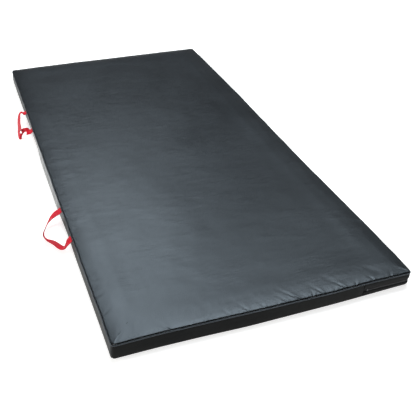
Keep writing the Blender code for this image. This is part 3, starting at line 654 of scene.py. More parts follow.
def run_of(points):
    """The run of the outline's place that is nearest to each point."""
    x, y = points[:, 0], points[:, 1]
    half_x, half_y = WIDTH / 2 - CORNER_RADIUS, LENGTH / 2 - CORNER_RADIUS
    to_side = np.stack([y + LENGTH / 2, WIDTH / 2 - x, LENGTH / 2 - y, x + WIDTH / 2])
    side = to_side.argmin(0)
    runs = np.stack(
        [
            np.clip(x, -half_x, half_x) + half_x,
            FRONT_RUN + ARC + np.clip(y, -half_y, half_y) + half_y,
            FRONT_RUN + 2 * ARC + SIDE_RUN + half_x - np.clip(x, -half_x, half_x),
            2 * FRONT_RUN + 3 * ARC + SIDE_RUN + half_y - np.clip(y, -half_y, half_y),
        ]
    )
    return np.take_along_axis(runs, side[None], 0)[0]


def pucker_height(runs, insets):
    """The rise or fall of the cover from its puckers, at runs and distances in from the seam."""
    height = np.zeros(len(runs))
    for run, depth, reach, lean, width in PUCKERS:
        across = (runs - run - lean * insets) / (width * (1 + 1.5 * insets / reach))
        along = np.clip(insets / 0.004, 0, 1) * np.exp(-((insets / reach) ** 1.5))
        profile = sum(rise * np.exp(-(((across - at) / spread) ** 2)) for rise, at, spread in PUCKER_PROFILE)
        height += np.where(np.abs(across) < 5, depth * along * profile, 0.0)
    return height


def soft_noise(points, scale, offset=0.0):
    """Smooth noise at points that scale has multiplied."""
    return np.array([noise.noise(Vector((x, y, z)) + Vector((offset, 0, 0))) for x, y, z in points * scale])


# Padded forms: rings round the outline, and a grid that closes the middle
class Plan:
    """The samples of one closed ring: across on the short sides, along on the long ones."""

    def __init__(self, across, along, corner, front_share=1):
        self.counts = (across * front_share, along, across, along)
        self.cells = (across // 2, along // 2)
        anchors, outwards, runs, spots = [], [], [], []
        centre_angles = (-90, 0, 90, 180)
        ways = ((1, 0), (0, 1), (-1, 0), (0, -1))
        corners = ((1, -1), (1, 1), (-1, 1), (-1, -1))
        run = 0.0
        for side in range(4):
            (dx, dy), (cx, cy), count = ways[side], corners[side], self.counts[side]
            straight = (FRONT_RUN, SIDE_RUN)[side % 2]
            for i in range(count + 1):
                u = -1 + 2 * i / count
                anchors.append((dx * u if dx else cx, dy * u if dy else cy))
                outwards.append((dy, -dx))
                runs.append(run + straight * i / count)
                spots.append((side, i))
            run += straight
            for i in range(1, corner):
                turned = math.radians(centre_angles[side] + 90 * i / corner)
                anchors.append((cx, cy))
                outwards.append((math.cos(turned), math.sin(turned)))
                runs.append(run + ARC * i / corner)
                spots.append((side, None))
            run += ARC
        self.anchors, self.outwards, self.runs = np.array(anchors, float), np.array(outwards), np.array(runs)
        self.spots = spots

    def ring(self, out, up, radius):
        half_x, half_y = WIDTH / 2 + out - radius, LENGTH / 2 + out - radius
        flat = self.anchors * (half_x, half_y) + self.outwards * radius
        return np.column_stack([flat, up + np.zeros(len(flat))])

    def cap(self, points, faces, ring_start, inset_by, height, downwards):
        """Closes a ring's middle with a grid of fewer cells."""
        columns, rows = self.cells
        half_x, half_y = WIDTH / 2 - inset_by, LENGTH / 2 - inset_by
        start = len(points)
        for j in range(rows + 1):
            for i in range(columns + 1):
                x, y = half_x * (2 * i / columns - 1), half_y * (2 * j / rows - 1)
                points.append((x, y, height(x, y)))

        def grid(i, j):
            return start + j * (columns + 1) + i

        steps = [self.counts[side] // self.cells[side % 2] for side in range(4)]

        def place(side, i):
            cell = i // steps[side]
            return (
                grid(cell, 0),
                grid(columns, cell),
                grid(columns - cell, rows),
                grid(0, rows - cell),
            )[side]

        made = []
        for j in range(rows):
            for i in range(columns):
                made.append((grid(i, j), grid(i + 1, j), grid(i + 1, j + 1), grid(i, j + 1)))
        count = len(self.spots)
        k = 0
        while k < count:
            side, i = self.spots[k]
            if i is not None and i < self.counts[side]:
                step = steps[side]
                edge = [ring_start + k + n for n in range(step + 1)]
                made.append((*edge, place(side, i + step), place(side, i)))
                k += step
            else:
                made.append((ring_start + k, ring_start + (k + 1) % count, place(side, self.counts[side])))
                k += 1
        faces += [face[::-1] for face in made] if downwards else made


def form(plan, section, inset_by, height=None, under=None):
    """Points and faces of rings along a section, closed over the top by height and below by under.

    The section runs from below outwards and up. Corners tighten to a point at inset_by.
    """
    points, faces = [], []
    count = len(plan.spots)
    for out, up in section:
        radius = CORNER_RADIUS + out
        if radius < LEAST_RADIUS:
            radius = LEAST_RADIUS * max(0.15, (inset_by + out) / (inset_by - CORNER_RADIUS))
        points += [tuple(p) for p in plan.ring(out, up, radius)]
    faces += strip_faces(len(section), count, close_columns=True)
    if height is not None:
        plan.cap(points, faces, (len(section) - 1) * count, inset_by, height, False)
    if under is not None:
        plan.cap(points, faces, 0, inset_by, under, True)
    return np.array(points), faces


def crown_height(x, y, drop=0.0):
    """The crown's height, lowered by drop."""
    rise = 1.0
    for half, here in ((WIDTH / 2, abs(x)), (LENGTH / 2, abs(y))):
        share = min(max((half - here - CAP_INSET) / (CROWN_REACH - CAP_INSET), 0.0), 1.0)
        rise *= 0.25 + 0.75 * (1 - (1 - share) ** 2)
    return CROWN_FOOT + CROWN * rise - drop


def shoulder():
    """From under the seam, round the padded edge, to the crown."""
    line = [(-0.0060, 0.0424), (-0.0054, 0.0427), (-0.0046, 0.0433), (-0.0036, 0.0442)]
    line += [(-0.0028, 0.0450), (-0.0024, 0.0457), (-0.0025, 0.0463), (-0.0030, 0.04675)]
    line += [(-0.0038, 0.0470), (-0.0050, 0.04733), (-0.0066, 0.04771), (-0.0086, 0.04811)]
    line += [(-0.0112, 0.04847), (-0.0145, 0.04873), (-0.0185, 0.04890), (-0.0235, 0.04902)]
    return line + [(-0.0300, 0.04911), (-0.0390, 0.04919), (-0.0500, 0.04925), (-0.0600, 0.04928)]


SEWN_BELOW = 0.0460
SWELL_FRAMES = 22
# A point that the simulation has moved further than this has torn loose, and is put back
TORN_LOOSE = 0.02


def swell(piece, plan, rings):
    """Fills the cover by a cloth simulation: it is sewn in along its edge, with a little cloth to spare."""
    count = len(plan.spots)
    weights = np.ones(len(piece.data.vertices))
    rest = np.array([v.co for v in piece.data.vertices])
    depth = inset(rest)
    seam = len([1 for out, up in rings if up < SEWN_BELOW]) * count
    held = np.interp(depth, (0.002, 0.006, 0.018, 0.060, 0.120), (0.9, 0.10, 0.02, 0.05, 0.30))
    weights[seam:] = held[seam:]
    loose = np.interp(depth, (0.0, 0.020, 0.100), (1.0, 0.9, 0.3))
    for name, values in (("sewn", weights), ("spare", loose)):
        group = piece.vertex_groups.new(name=name)
        for i, value in enumerate(values):
            group.add([i], float(value), "REPLACE")
    cloth = piece.modifiers.new("cloth", "CLOTH")
    settings = cloth.settings
    settings.quality = 6
    settings.mass = 0.4
    settings.tension_stiffness = 40
    settings.compression_stiffness = 40
    settings.shear_stiffness = 15
    settings.bending_stiffness = 0.4
    settings.vertex_group_mass = "sewn"
    settings.pin_stiffness = 1.0
    settings.vertex_group_shrink = "spare"
    settings.shrink_min = 0.0
    settings.shrink_max = -0.014
    settings.use_pressure = True
    settings.uniform_pressure_force = 0.6
    settings.effector_weights.gravity = 0.0
    cloth.collision_settings.use_collision = False
    scene = bpy.context.scene
    for step in range(1, SWELL_FRAMES + 1):
        scene.frame_set(step)
    evaluated = piece.evaluated_get(bpy.context.evaluated_depsgraph_get())
    swollen = np.array([v.co for v in evaluated.to_mesh().vertices])
    evaluated.to_mesh_clear()
    piece.modifiers.remove(cloth)
    scene.frame_set(1)
    moved = swollen - rest
    moved[np.abs(moved).max(1) > TORN_LOOSE] = 0.0
    return moved


MOST_RISE = 0.0016
MOST_FALL = 0.0022
MOST_SHIFT = 0.0015
# Faces whose normal rises less than this have the sides' duller leatherette: painted shade that darkens the
# cover's turned edge and its crevice under the seam
SHADE_PAINTED_BELOW = 0.85
SHADE_PAINTED_BELOW_AT_FRONT = 0.45


def top_cover():
    """The crowned top: swollen by simulation, subdivided once, then puckered along its seam."""
    plan = Plan(150, 180, 6, front_share=2)
    rings = shoulder()
    points, faces = form(plan, rings, CAP_INSET, height=crown_height)
    rough = new_piece("rough_top", points, faces, LEATHER)
    moved = swell(rough, plan, rings)
    moved[:, 2] = np.clip(moved[:, 2], -MOST_FALL, MOST_RISE)
    moved[:, :2] = np.clip(moved[:, :2], -MOST_SHIFT, MOST_SHIFT)
    places = points + moved
    rough.data.vertices.foreach_set("co", places.astype(np.float32).ravel())
    smooth = rough.modifiers.new("smooth", "SUBSURF")
    smooth.levels = smooth.render_levels = 1
    smooth.boundary_smooth = "PRESERVE_CORNERS"
    bpy.context.view_layer.update()
    evaluated = rough.evaluated_get(bpy.context.evaluated_depsgraph_get())
    mesh = bpy.data.meshes.new_from_object(evaluated)
    places = np.array([v.co for v in mesh.vertices])
    polygons = [tuple(p.vertices) for p in mesh.polygons]
    bpy.data.objects.remove(rough, do_unlink=True)
    bpy.data.meshes.remove(mesh)

    depth, runs = inset(places), run_of(places)
    upper = np.clip((places[:, 2] - 0.0436) / 0.0020, 0, 1)
    places[:, 2] += upper * pucker_height(runs, np.maximum(depth, 0))
    low = soft_noise(places, 5.0) * 0.0008 + soft_noise(places, 17.0, 9.0) * 0.00025
    ripple = soft_noise(places * (0.35, 1.0, 1.0), 46.0, 4.0) * 0.00016
    places[:, 2] += (low + ripple) * np.clip(depth / 0.040, 0, 1)
    edge = np.exp(-((np.maximum(depth, 0) / 0.020) ** 2)) * wander(runs)
    places = settle(pushed_out(places, edge))
    cover = new_piece("top_cover", places, polygons, LEATHER, sharp_deg=70)
    cover.data.materials.append(SIDE_LEATHER)
    # Painted shade: faces that turn sideways or down take the darker-looking side leatherette, so the seam's
    # crevice reads dark
    for face in cover.data.polygons:
        at_front = face.center.y < -0.88 and abs(face.center.x) < 0.44
        if face.normal.z < (SHADE_PAINTED_BELOW_AT_FRONT if at_front else SHADE_PAINTED_BELOW):
            face.material_index = 1
    thicken(cover)
    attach(cover, "mat")
    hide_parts("top_panel")


# Boxing
def turned_under():
    """A side panel's lower edge, from its lap over the base outwards and up to its face."""
    inner = SIDE_FACE - CURL_REACH
    line = [(LAP_END, LAP_UP), (-BOTTOM_EDGE + GAP, LAP_UP), (inner - GAP, GAP)]
    for i in range(7):
        turned = math.pi / 2 * i / 7
        line.append((inner + CURL_REACH * math.sin(turned), GAP + CURL_HEIGHT * (1 - math.cos(turned))))
    return line


def bulged(start, end, bulge, steps):
    """Points from start to end that belly outwards by bulge in the middle."""
    line = []
    for i in range(steps + 1):
        t = i / steps
        belly = bulge * (4 * t * (1 - t)) ** 0.8
        line.append((start[0] + (end[0] - start[0]) * t + belly, start[1] + (end[1] - start[1]) * t))
    return line


# The dip in a strip's upper edge under each strap: half its length, its depth, and how far down it starts
NOTCH_HALF = 0.0165
NOTCH_DEPTH = 0.0020
NOTCH_HEIGHT = 0.004


def boxing(name, node, start, end, line, lively=1.0, notches=()):
    """A strip of cover along the outline: it tucks in at its end seams and ripples between them.

    Lively multiplies its ripples, and notches are the runs of the straps that pass over its edge.
    """
    rim = Rim(runs_between(start, end, 0.006))
    runs = rim.runs
    ends = np.minimum(runs - start, end - runs)
    tuck = -0.0009 * np.exp(-((ends / 0.0016) ** 2))
    columns = []
    for out, up in line:
        loose = min(max((up - 0.001) / 0.012, 0.0), 1.0)
        free = loose * min(abs(up - ZIP_HEIGHT) / 0.016, 1.0) if "zip" in node else loose
        level = np.column_stack([runs, np.full(len(runs), up), np.zeros(len(runs))])
        folds = soft_noise(level * (26.0, 40.0, 1.0), 1.0, 3.0) * 0.00042
        folds = folds + soft_noise(level * (70.0, 18.0, 1.0), 1.0, 31.0) * 0.00022
        reach = math.exp(-(((SEAM_UNDER - up) / 0.010) ** 2))
        gathers = pucker_height(runs, np.full(len(runs), 0.004)) * reach * 0.9
        straying = wander(runs) * (0.35 if "zip" in node else 0.8)
        shift = (straying + folds * lively) * free + gathers + tuck * loose
        high = np.full(len(runs), up)
        if up > SEAM_UNDER - NOTCH_HEIGHT:
            for run in notches:
                beside_strap = np.clip((NOTCH_HALF - np.abs(runs - run)) / 0.0010, 0, 1)
                high = high - beside_strap * NOTCH_DEPTH * (up - SEAM_UNDER + NOTCH_HEIGHT) / NOTCH_HEIGHT
        columns.append(rim.at(out + shift, high))
    points = settle(np.stack(columns).reshape(-1, 3))
    flat = np.array([(run, up) for _, up in line for run in runs])
    material = LEFT_LEATHER if node == "side_panel_left" else SIDE_LEATHER
    piece = new_piece(name, points, strip_faces(len(line), len(runs)), material, uv=flat, sharp_deg=70)
    thicken(piece)
    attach(piece, "mat")
    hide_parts(node)


def side_boxing():
    foot = (SIDE_FACE, FOOT_UP)
    line = turned_under() + bulged(foot, (SIDE_FACE, SEAM_UNDER), 0.0020, 12)
    half = GAP / 2
    boxing("front_boxing", "side_panel_front", FRONT_LEFT_MIDDLE + half, ZIP_FIRST_RUN - half, line)
    boxing("rear_boxing", "side_panel_rear", REAR_RIGHT_MIDDLE + half, LEFT_MIDDLE_REAR - half, line)
    notches = [left_y_run(y) for y in TAIL_YS]
    end = PERIMETER + FRONT_LEFT_MIDDLE
    boxing("left_boxing", "side_panel_left", LEFT_MIDDLE_REAR + half, end - half, line, 1.2, notches)


def zip_boxing():
    """The two strips beside the zip, with rolled lips that turn in to the tape."""
    low, high = ZIP_HEIGHT - LIP, ZIP_HEIGHT + LIP
    seat = TAPE_FACE + GAP
    foot = (SIDE_FACE, FOOT_UP)
    lower = turned_under() + bulged(foot, (LIP_OUT, low - 0.0006), 0.0011, 8)
    lower += [(LIP_OUT - 0.0002, low - 0.0002), (LIP_OUT - 0.0007, low), (seat, low)]
    upper = [(seat, high), (LIP_OUT - 0.0007, high), (LIP_OUT - 0.0002, high + 0.0002)]
    upper += bulged((LIP_OUT, high + 0.0006), (SIDE_FACE, SEAM_UNDER), 0.0018, 9)
    start, end = ZIP_FIRST_RUN + GAP / 2, REAR_RIGHT_MIDDLE - GAP / 2
    boxing("zip_boxing_lower", "zip_panel_lower", start, end, lower)
    boxing("zip_boxing_upper", "zip_panel_upper", start, end, upper)
    for name, up, out in (
        ("lip_stitches_lower", low - 0.0026, LIP_OUT + 0.00045),
        ("lip_stitches_upper", high + 0.0026, LIP_OUT + 0.00065),
    ):
        stitches(name, start + 0.004, end - 0.004, out, up)


def stitches(name, start, end, out, up, length=0.0030, gap=0.0011, radius=0.00022):
    """A row of thread stitches: each one is a short arched bead that dips at both ends."""
    count = int((end - start) / (length + gap))
    points, faces = [], []
    shares = (0.0, 0.15, 0.5, 0.85, 1.0)
    runs = np.array([start + i * (length + gap) + length * s for i in range(count) for s in shares])
    dips = np.tile([-0.0005, 0.0, 0.00008, 0.0, -0.0005], count)
    rim = Rim(runs)
    sides = 5
    rings = []
    for k in range(sides):
        turned = 2 * math.pi * k / sides
        rings.append(rim.at(out + dips + radius * math.cos(turned), up + radius * math.sin(turned)))
    rings = np.stack(rings, 1)
    for i in range(count):
        base = len(points)
        points += [tuple(p) for p in rings[i * 5 : (i + 1) * 5].reshape(-1, 3)]
        faces += [(a, d, c, b) for a, b, c, d in strip_faces(5, sides, True, base)]
        faces.append(tuple(base + k for k in range(sides)))
        faces.append(tuple(base + 4 * sides + k for k in reversed(range(sides))))
    row = new_piece(name, points, faces, THREAD)
    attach(row, "mat")


def round_tube(name, radius, material, node, slot, flange=None, lumpy=0.0):
    """A tube along the whole seam, with a flange into the seam where one is asked for."""
    rim = Rim(np.array(runs_between(0.0, PERIMETER - 0.0004, 0.006, 8))[:-1])
    sides = 14
    drift = wander(rim.runs) * 0.8
    crease = pucker_height(rim.runs, np.full(len(rim.runs), 0.004)) * 0.5
    line = []
    for k in range(sides):
        turned = math.pi - 2 * math.pi * (k + 0.5) / sides
        line.append((PIPING_OUT + radius * math.cos(turned), PIPING_UP + radius * math.sin(turned)))
    if flange is not None:
        line = [(flange, PIPING_UP + 0.0006), *line, (flange, PIPING_UP - 0.0006)]
    columns = []
    for k, (out, up) in enumerate(line):
        rough = np.column_stack([rim.runs * 60, np.full(len(rim.runs), k * 0.9), np.zeros(len(rim.runs))])
        lumps = soft_noise(rough, 1.0, 12.0) * lumpy
        columns.append(rim.at(out + drift + lumps, up + crease + lumps))
    points = settle(np.stack(columns, 1).reshape(-1, 3))
    once_round = strip_faces(len(rim.runs) + 1, len(line), close_columns=True)
    faces = [tuple(i % len(points) for i in face) for face in once_round]
    tube = new_piece(name, points, faces, material, sharp_deg=75)
    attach(tube, "mat")
    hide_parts(node)
    return tube


def base_cover():
    """The base sheet, flat on the floor, with its edge turned up inside the side panels."""
    plan = Plan(60, 120, 6)
    section = [(-0.060, 0.0), (-0.030, 0.0), (-BOTTOM_EDGE - 0.001, 0.0), (-BOTTOM_EDGE, 0.0002)]
    points, faces = form(plan, section, CAP_INSET, under=lambda x, y: 0.0)
    base = new_piece("base_cover", points, faces, BASE_LEATHER, sharp_deg=70)
    thicken(base, 0.0006)
    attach(base, "mat")
    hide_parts("bottom_panel")


def foam_core():
    """The two bonded foam slabs inside: rounded where the cover turns, and uneven as cut foam is."""
    plan = Plan(80, 160, 6)
    parting = 0.0250
    lower = [(-0.060, 0.0020), (-0.026, 0.0020), (FOAM_SIDE - 0.010, 0.0022)]
    lower += [(FOAM_SIDE - 0.005, 0.0034), (FOAM_SIDE - 0.0018, 0.0068), (FOAM_SIDE, 0.0115)]
    lower += [(FOAM_SIDE, 0.018), (FOAM_SIDE - 0.0003, parting), (-0.030, parting), (-0.060, parting)]
    upper = [(-0.060, parting + GAP), (-0.030, parting + GAP), (FOAM_SIDE - 0.0003, parting + GAP)]
    upper += [(FOAM_SIDE, 0.030), (FOAM_SIDE, 0.0395), (FOAM_SIDE - 0.0012, 0.0424)]
    upper += [(FOAM_SIDE - 0.0040, 0.0444), (FOAM_SIDE - 0.0095, 0.0460), (-0.030, 0.0466), (-0.060, 0.0468)]

    def domed(x, y):
        return crown_height(x, y, 0.0017)

    for name, node, section, top, under, material, slot in (
        ("foam_core_firm", "foam_lower_layer", lower, lambda x, y: parting, 0.0020, FIRM_FOAM, "firm_foam"),
        ("foam_core_soft", "foam_upper_layer", upper, domed, parting + GAP, SOFT_FOAM, "soft_foam"),
    ):
        points, faces = form(plan, section, CAP_INSET, height=top, under=lambda x, y, z=under: z)
        cut_marks = soft_noise(points, 60.0, 2.0) * 0.0003
        inner = np.clip((points[:, 2] - 0.028) / 0.01, 0, 1) if "soft" in name else np.zeros(len(points))
        points[:, 2] += cut_marks * inner - 0.0003 * inner
        core = new_piece(name, settle(points), faces, material, sharp_deg=60)
        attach(core, "mat")
        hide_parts(node)


# The zip
def zip_tapes():
    """Woven tapes, flat strips along the zip. They meet along the teeth and part beyond the slider."""
    first = ZIP_FIRST_RUN + GAP
    parted = right_y_run(SLIDER_Y + 0.0031)
    closed = right_y_run(SLIDER_Y - 0.0009)
    last = right_y_run(ZIP_END_Y)
    runs = np.array(runs_between(first, closed, 0.006)[:-1] + list(np.linspace(closed, parted, 6)) + [last])
    edge = np.interp(runs, (closed, parted), (GAP / 2, 0.0014))
    rim = Rim(runs)
    reaches = (0.0, 0.0004, 0.0016, 0.0040, 0.0080, 0.0118)
    line = [(reach, 0.0) for reach in reaches] + [(reach, -0.0006) for reach in reversed(reaches)]
    count = len(line)
    for name, node, side in (
        ("zip_tape_weave_upper", "zip_tape_upper", 1),
        ("zip_tape_weave_lower", "zip_tape_lower", -1),
    ):
        columns = [rim.at(TAPE_FACE + out, ZIP_HEIGHT + side * (edge + reach)) for reach, out in line]
        points = np.stack(columns, 1).reshape(-1, 3)
        faces = [face[::side] for face in strip_faces(len(runs), count, close_columns=True)]
        faces.append(tuple(range(count))[::-side])
        faces.append(tuple((len(runs) - 1) * count + k for k in range(count))[::side])
        tape = new_piece(name, points, faces, TAPE, sharp_deg=50)
        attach(tape, "mat")
        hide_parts(node)


TOOTH_PITCH = 0.0026


def zip_chain():
    """Moulded teeth: each has a foot on its tape, a neck and a head that sits between the other row's."""
    first = ZIP_FIRST_RUN + TAPE_END + STOP_LENGTH + 0.0016
    last = right_y_run(SLIDER_Y - 0.0010)
    count = int((last - first) / TOOTH_PITCH)
    # The outline of one tooth, as (share of the pitch along the run, height from the zip's middle)
    outline = (
        (-0.30, 0.0032),
        (0.30, 0.0032),
        (0.30, 0.0016),
        (0.14, 0.0008),
        (0.20, -0.0003),
        (0.12, -0.0009),
        (-0.12, -0.0009),
        (-0.20, -0.0003),
        (-0.14, 0.0008),
        (-0.30, 0.0016),
    )
    size = len(outline)
    for name, node, side in (
        ("zip_chain_upper", "zip_teeth_upper", 1),
        ("zip_chain_lower", "zip_teeth_lower", -1),
    ):
        starts = first + TOOTH_PITCH * (np.arange(count) + (0.5 if side < 0 else 0.0))
        runs = (starts[:, None] + TOOTH_PITCH * np.array([s for s, _ in outline])[None]).ravel()
        ups = np.tile([ZIP_HEIGHT + side * h for _, h in outline], count)
        rim = Rim(runs)
        layers = [rim.at(out, ups) for out in (TEETH_BASE, TEETH_TOP - 0.0003)]
        middle = np.repeat(starts, size)
        crown_runs = middle + (runs - middle) * 0.72
        crown = Rim(crown_runs).at(TEETH_TOP, ZIP_HEIGHT + (ups - ZIP_HEIGHT) * 0.94)
        points = np.stack([*layers, crown], 1).reshape(-1, 3)
        faces = []
        for tooth in range(count):
            base = tooth * size * 3
            for k in range(size):
                a, b = base + 3 * k, base + 3 * ((k + 1) % size)
                for level in (0, 1):
                    faces.append((a + level, b + level, b + level + 1, a + level + 1)[::-side])
            faces.append(tuple(base + 3 * k for k in range(size))[::side])
            faces.append(tuple(base + 3 * k + 2 for k in range(size))[::-side])
        row = new_piece(name, points, faces, TEETH, sharp_deg=35)
        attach(row, "mat")
        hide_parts(node)


def end_patches():
    """Leatherette patches between the lips, over the ends of the tapes."""
    height = LIP - GAP
    out = TAPE_FACE + GAP + LEATHERETTE
    front_end = ZIP_FIRST_RUN + TAPE_END - GAP
    rear_start = right_y_run(SLIDER_Y + 0.0065 + STOP_LENGTH + GAP)
    for name, node, start, end in (
        ("zip_end_patch_front", "zip_end_tab_front", ZIP_FIRST_RUN + GAP, front_end),
        ("zip_end_patch_rear", "zip_end_tab_rear", rear_start, REAR_RIGHT_MIDDLE - GAP),
    ):
        rim = Rim(runs_between(start, end, 0.003, 6))
        ends = np.minimum(rim.runs - start, end - rim.runs)
        columns = []
        for share in np.linspace(-1, 1, 9):
            puff = 0.0005 * (1 - share**2) * np.clip(ends / 0.003, 0, 1)
            columns.append(rim.at(out + puff, ZIP_HEIGHT + share * height))
        points = np.stack(columns).reshape(-1, 3)
        patch = new_piece(name, points, strip_faces(9, len(rim.runs)), SIDE_LEATHER, sharp_deg=70)
        thicken(patch)
        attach(patch, "mat")
        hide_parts(node)


def zip_metal():
    """The slider, its pull and the stops keep their CAD form, with eased edges."""
    for name in ("zip_slider", "zip_pull_tab", "zip_bottom_stop", "zip_top_stop_upper", "zip_top_stop_lower"):
        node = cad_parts[name]
        node.data.materials.clear()
        node.data.materials.append(METAL)
        eased = node.modifiers.new("eased_edges", "BEVEL")
        eased.width = 0.00018
        eased.segments = 2
        eased.limit_method = "ANGLE"


# The handles
# Each handle's route, as shares: along the side (of half the span), out (of the reach) and up (0 where the
# webbing stands on edge on the floor, 1 at the hinge), then the direction of its width (along, out, up).
FRONT_ROUTE = (
    ((1.00, 0.000, 1.00), (1, 0, 0)),
    ((1.00, 0.070, 1.00), (1, 0, 0)),
    ((0.98, 0.160, 0.96), (0.98, 0.18, -0.08)),
    ((0.94, 0.280, 0.84), (0.95, 0.22, -0.16)),
    ((0.89, 0.420, 0.61), (0.90, 0.27, -0.33)),
    ((0.80, 0.552, 0.35), (0.74, 0.32, -0.59)),
    ((0.68, 0.673, 0.16), (0.54, 0.34, -0.77)),
    ((0.53, 0.790, 0.04), (0.32, 0.37, -0.87)),
    ((0.31, 0.903, 0.00), (0.16, 0.36, -0.92)),
    ((0.06, 0.978, 0.00), (0.03, 0.07, -1.00)),
    ((-0.17, 0.951, -0.03), (0.26, -0.52, -0.81)),
    ((-0.34, 0.827, -0.13), (0.61, -0.63, -0.48)),
    ((-0.49, 0.685, -0.19), (0.58, -0.71, -0.40)),
    ((-0.67, 0.560, -0.23), (0.46, -0.78, -0.42)),
    ((-0.84, 0.462, -0.25), (0.54, -0.77, -0.33)),
    ((-0.93, 0.365, -0.21), (0.85, -0.48, -0.20)),
    ((-0.95, 0.285, -0.02), (0.96, -0.25, -0.12)),
    ((-0.97, 0.220, 0.38), (0.97, -0.05, -0.20)),
    ((-0.99, 0.145, 0.80), (0.98, 0.05, -0.12)),
    ((-1.00, 0.070, 1.00), (1, 0, 0)),
    ((-1.00, 0.000, 1.00), (1, 0, 0)),
)
REAR_ROUTE = (
    ((1.00, 0.000, 1.00), (1, 0, 0)),
    ((1.00, 0.134, 1.08), (1.00, -0.02, -0.03)),
    ((1.00, 0.242, 1.30), (0.99, 0.01, -0.13)),
    ((0.97, 0.344, 1.25), (0.90, 0.17, -0.39)),
    ((0.90, 0.412, 0.96), (0.75, 0.31, -0.59)),
    ((0.80, 0.449, 0.65), (0.61, 0.39, -0.69)),
    ((0.68, 0.477, 0.39), (0.49, 0.43, -0.76)),
    ((0.49, 0.515, 0.12), (0.32, 0.43, -0.84)),
    ((0.29, 0.549, -0.02), (0.16, 0.45, -0.88)),
    ((0.09, 0.574, -0.07), (0.07, 0.54, -0.84)),
    ((-0.12, 0.594, -0.07), (0.05, 0.59, -0.81)),
    ((-0.33, 0.624, -0.05), (0.05, 0.52, -0.85)),
    ((-0.53, 0.668, -0.01), (0.02, 0.33, -0.94)),
    ((-0.67, 0.696, 0.02), (-0.01, 0.20, -0.98)),
    ((-0.78, 0.674, 0.03), (-0.03, 0.14, -0.99)),
    ((-0.79, 0.591, 0.05), (0.19, 0.15, -0.97)),
    ((-0.69, 0.537, 0.20), (0.49, 0.03, -0.87)),
    ((-0.61, 0.485, 0.48), (0.56, -0.37, -0.74)),
    ((-0.62, 0.398, 0.75), (0.37, -0.67, -0.64)),
    ((-0.72, 0.338, 0.88), (0.10, -0.71, -0.70)),
    ((-0.85, 0.319, 0.96), (-0.27, -0.28, -0.92)),
    ((-0.95, 0.264, 1.04), (-0.71, 0.16, -0.68)),
    ((-1.00, 0.140, 1.02), (-0.98, 0.08, -0.17)),
    ((-1.00, 0.000, 1.00), (-1, 0, 0)),
)
# How far from its ends a loop's width starts to turn square to its path, and over what length
SHEAR_START = 0.007
SHEAR_LENGTH = 0.014
# Where the webbing has dropped from the lifted seam to its hinge's height, and the length of that drop
DROPPED_X = -0.4668
DROP_REACH = 0.0066


def smooth_between(values, t):
    """A Catmull-Rom curve through points, at t from 0 to len(values) - 1."""
    i = min(int(t), len(values) - 2)
    f = t - i
    a, b, c, d = (values[min(max(k, 0), len(values) - 1)] for k in (i - 1, i, i + 1, i + 2))
    return 0.5 * (2 * b + (c - a) * f + (2 * a - 5 * b + 4 * c - d) * f**2 + (3 * b - a - 3 * c + d) * f**3)


def loop_path(middle_y, route):
    """Centre points and width directions of a handle's free loop, about 2.5 mm apart."""
    floor_up = WEBBING_WIDTH / 2 + GAP
    places = [
        np.array(
            [
                HINGE_X - GAP / 2 - out * HANDLE_REACH,
                middle_y + along * HANDLE_SPAN / 2,
                floor_up + up * (WEBBING_UP - floor_up),
            ]
        )
        for (along, out, up), _ in route
    ]
    widths = [np.array([-width_out, width_y, width_up], float) for _, (width_y, width_out, width_up) in route]
    fine = np.linspace(0, len(places) - 1, 1600)
    path = np.array([smooth_between(places, t) for t in fine])
    turns = np.array([smooth_between(widths, t) for t in fine])
    far = np.concatenate([[0], np.cumsum(np.linalg.norm(np.diff(path, axis=0), axis=1))])
    at = np.linspace(0, far[-1], round(far[-1] / 0.0025) + 1)
    path, turns = (np.stack([np.interp(at, far, v[:, k]) for k in range(3)], 1) for v in (path, turns))
    ahead = np.gradient(path, axis=0)
    ahead /= np.linalg.norm(ahead, axis=1, keepdims=True)
    turns /= np.linalg.norm(turns, axis=1, keepdims=True)
    squared = np.clip((np.minimum(at, at[-1] - at) - SHEAR_START) / SHEAR_LENGTH, 0, 1)
    turns -= ahead * ((turns * ahead).sum(1) * squared)[:, None]
    return path, turns / np.linalg.norm(turns, axis=1, keepdims=True)


def strap_outline():
    """A webbing section as (across, through): flat faces and rounded selvedges."""
    half, thick = WEBBING_WIDTH / 2, WEBBING_THICKNESS / 2
    edge = [(half - 0.0009, 1.0), (half - 0.0003, 0.86), (half, 0.45)]
    across = list(np.linspace(-half + 0.0020, half - 0.0020, 9))
    top = [(-x, t) for x, t in edge[::-1]] + [(x, 1.0) for x in across] + edge
    return [(x, t * thick) for x, t in top] + [(x, -t * thick) for x, t in top[::-1]]


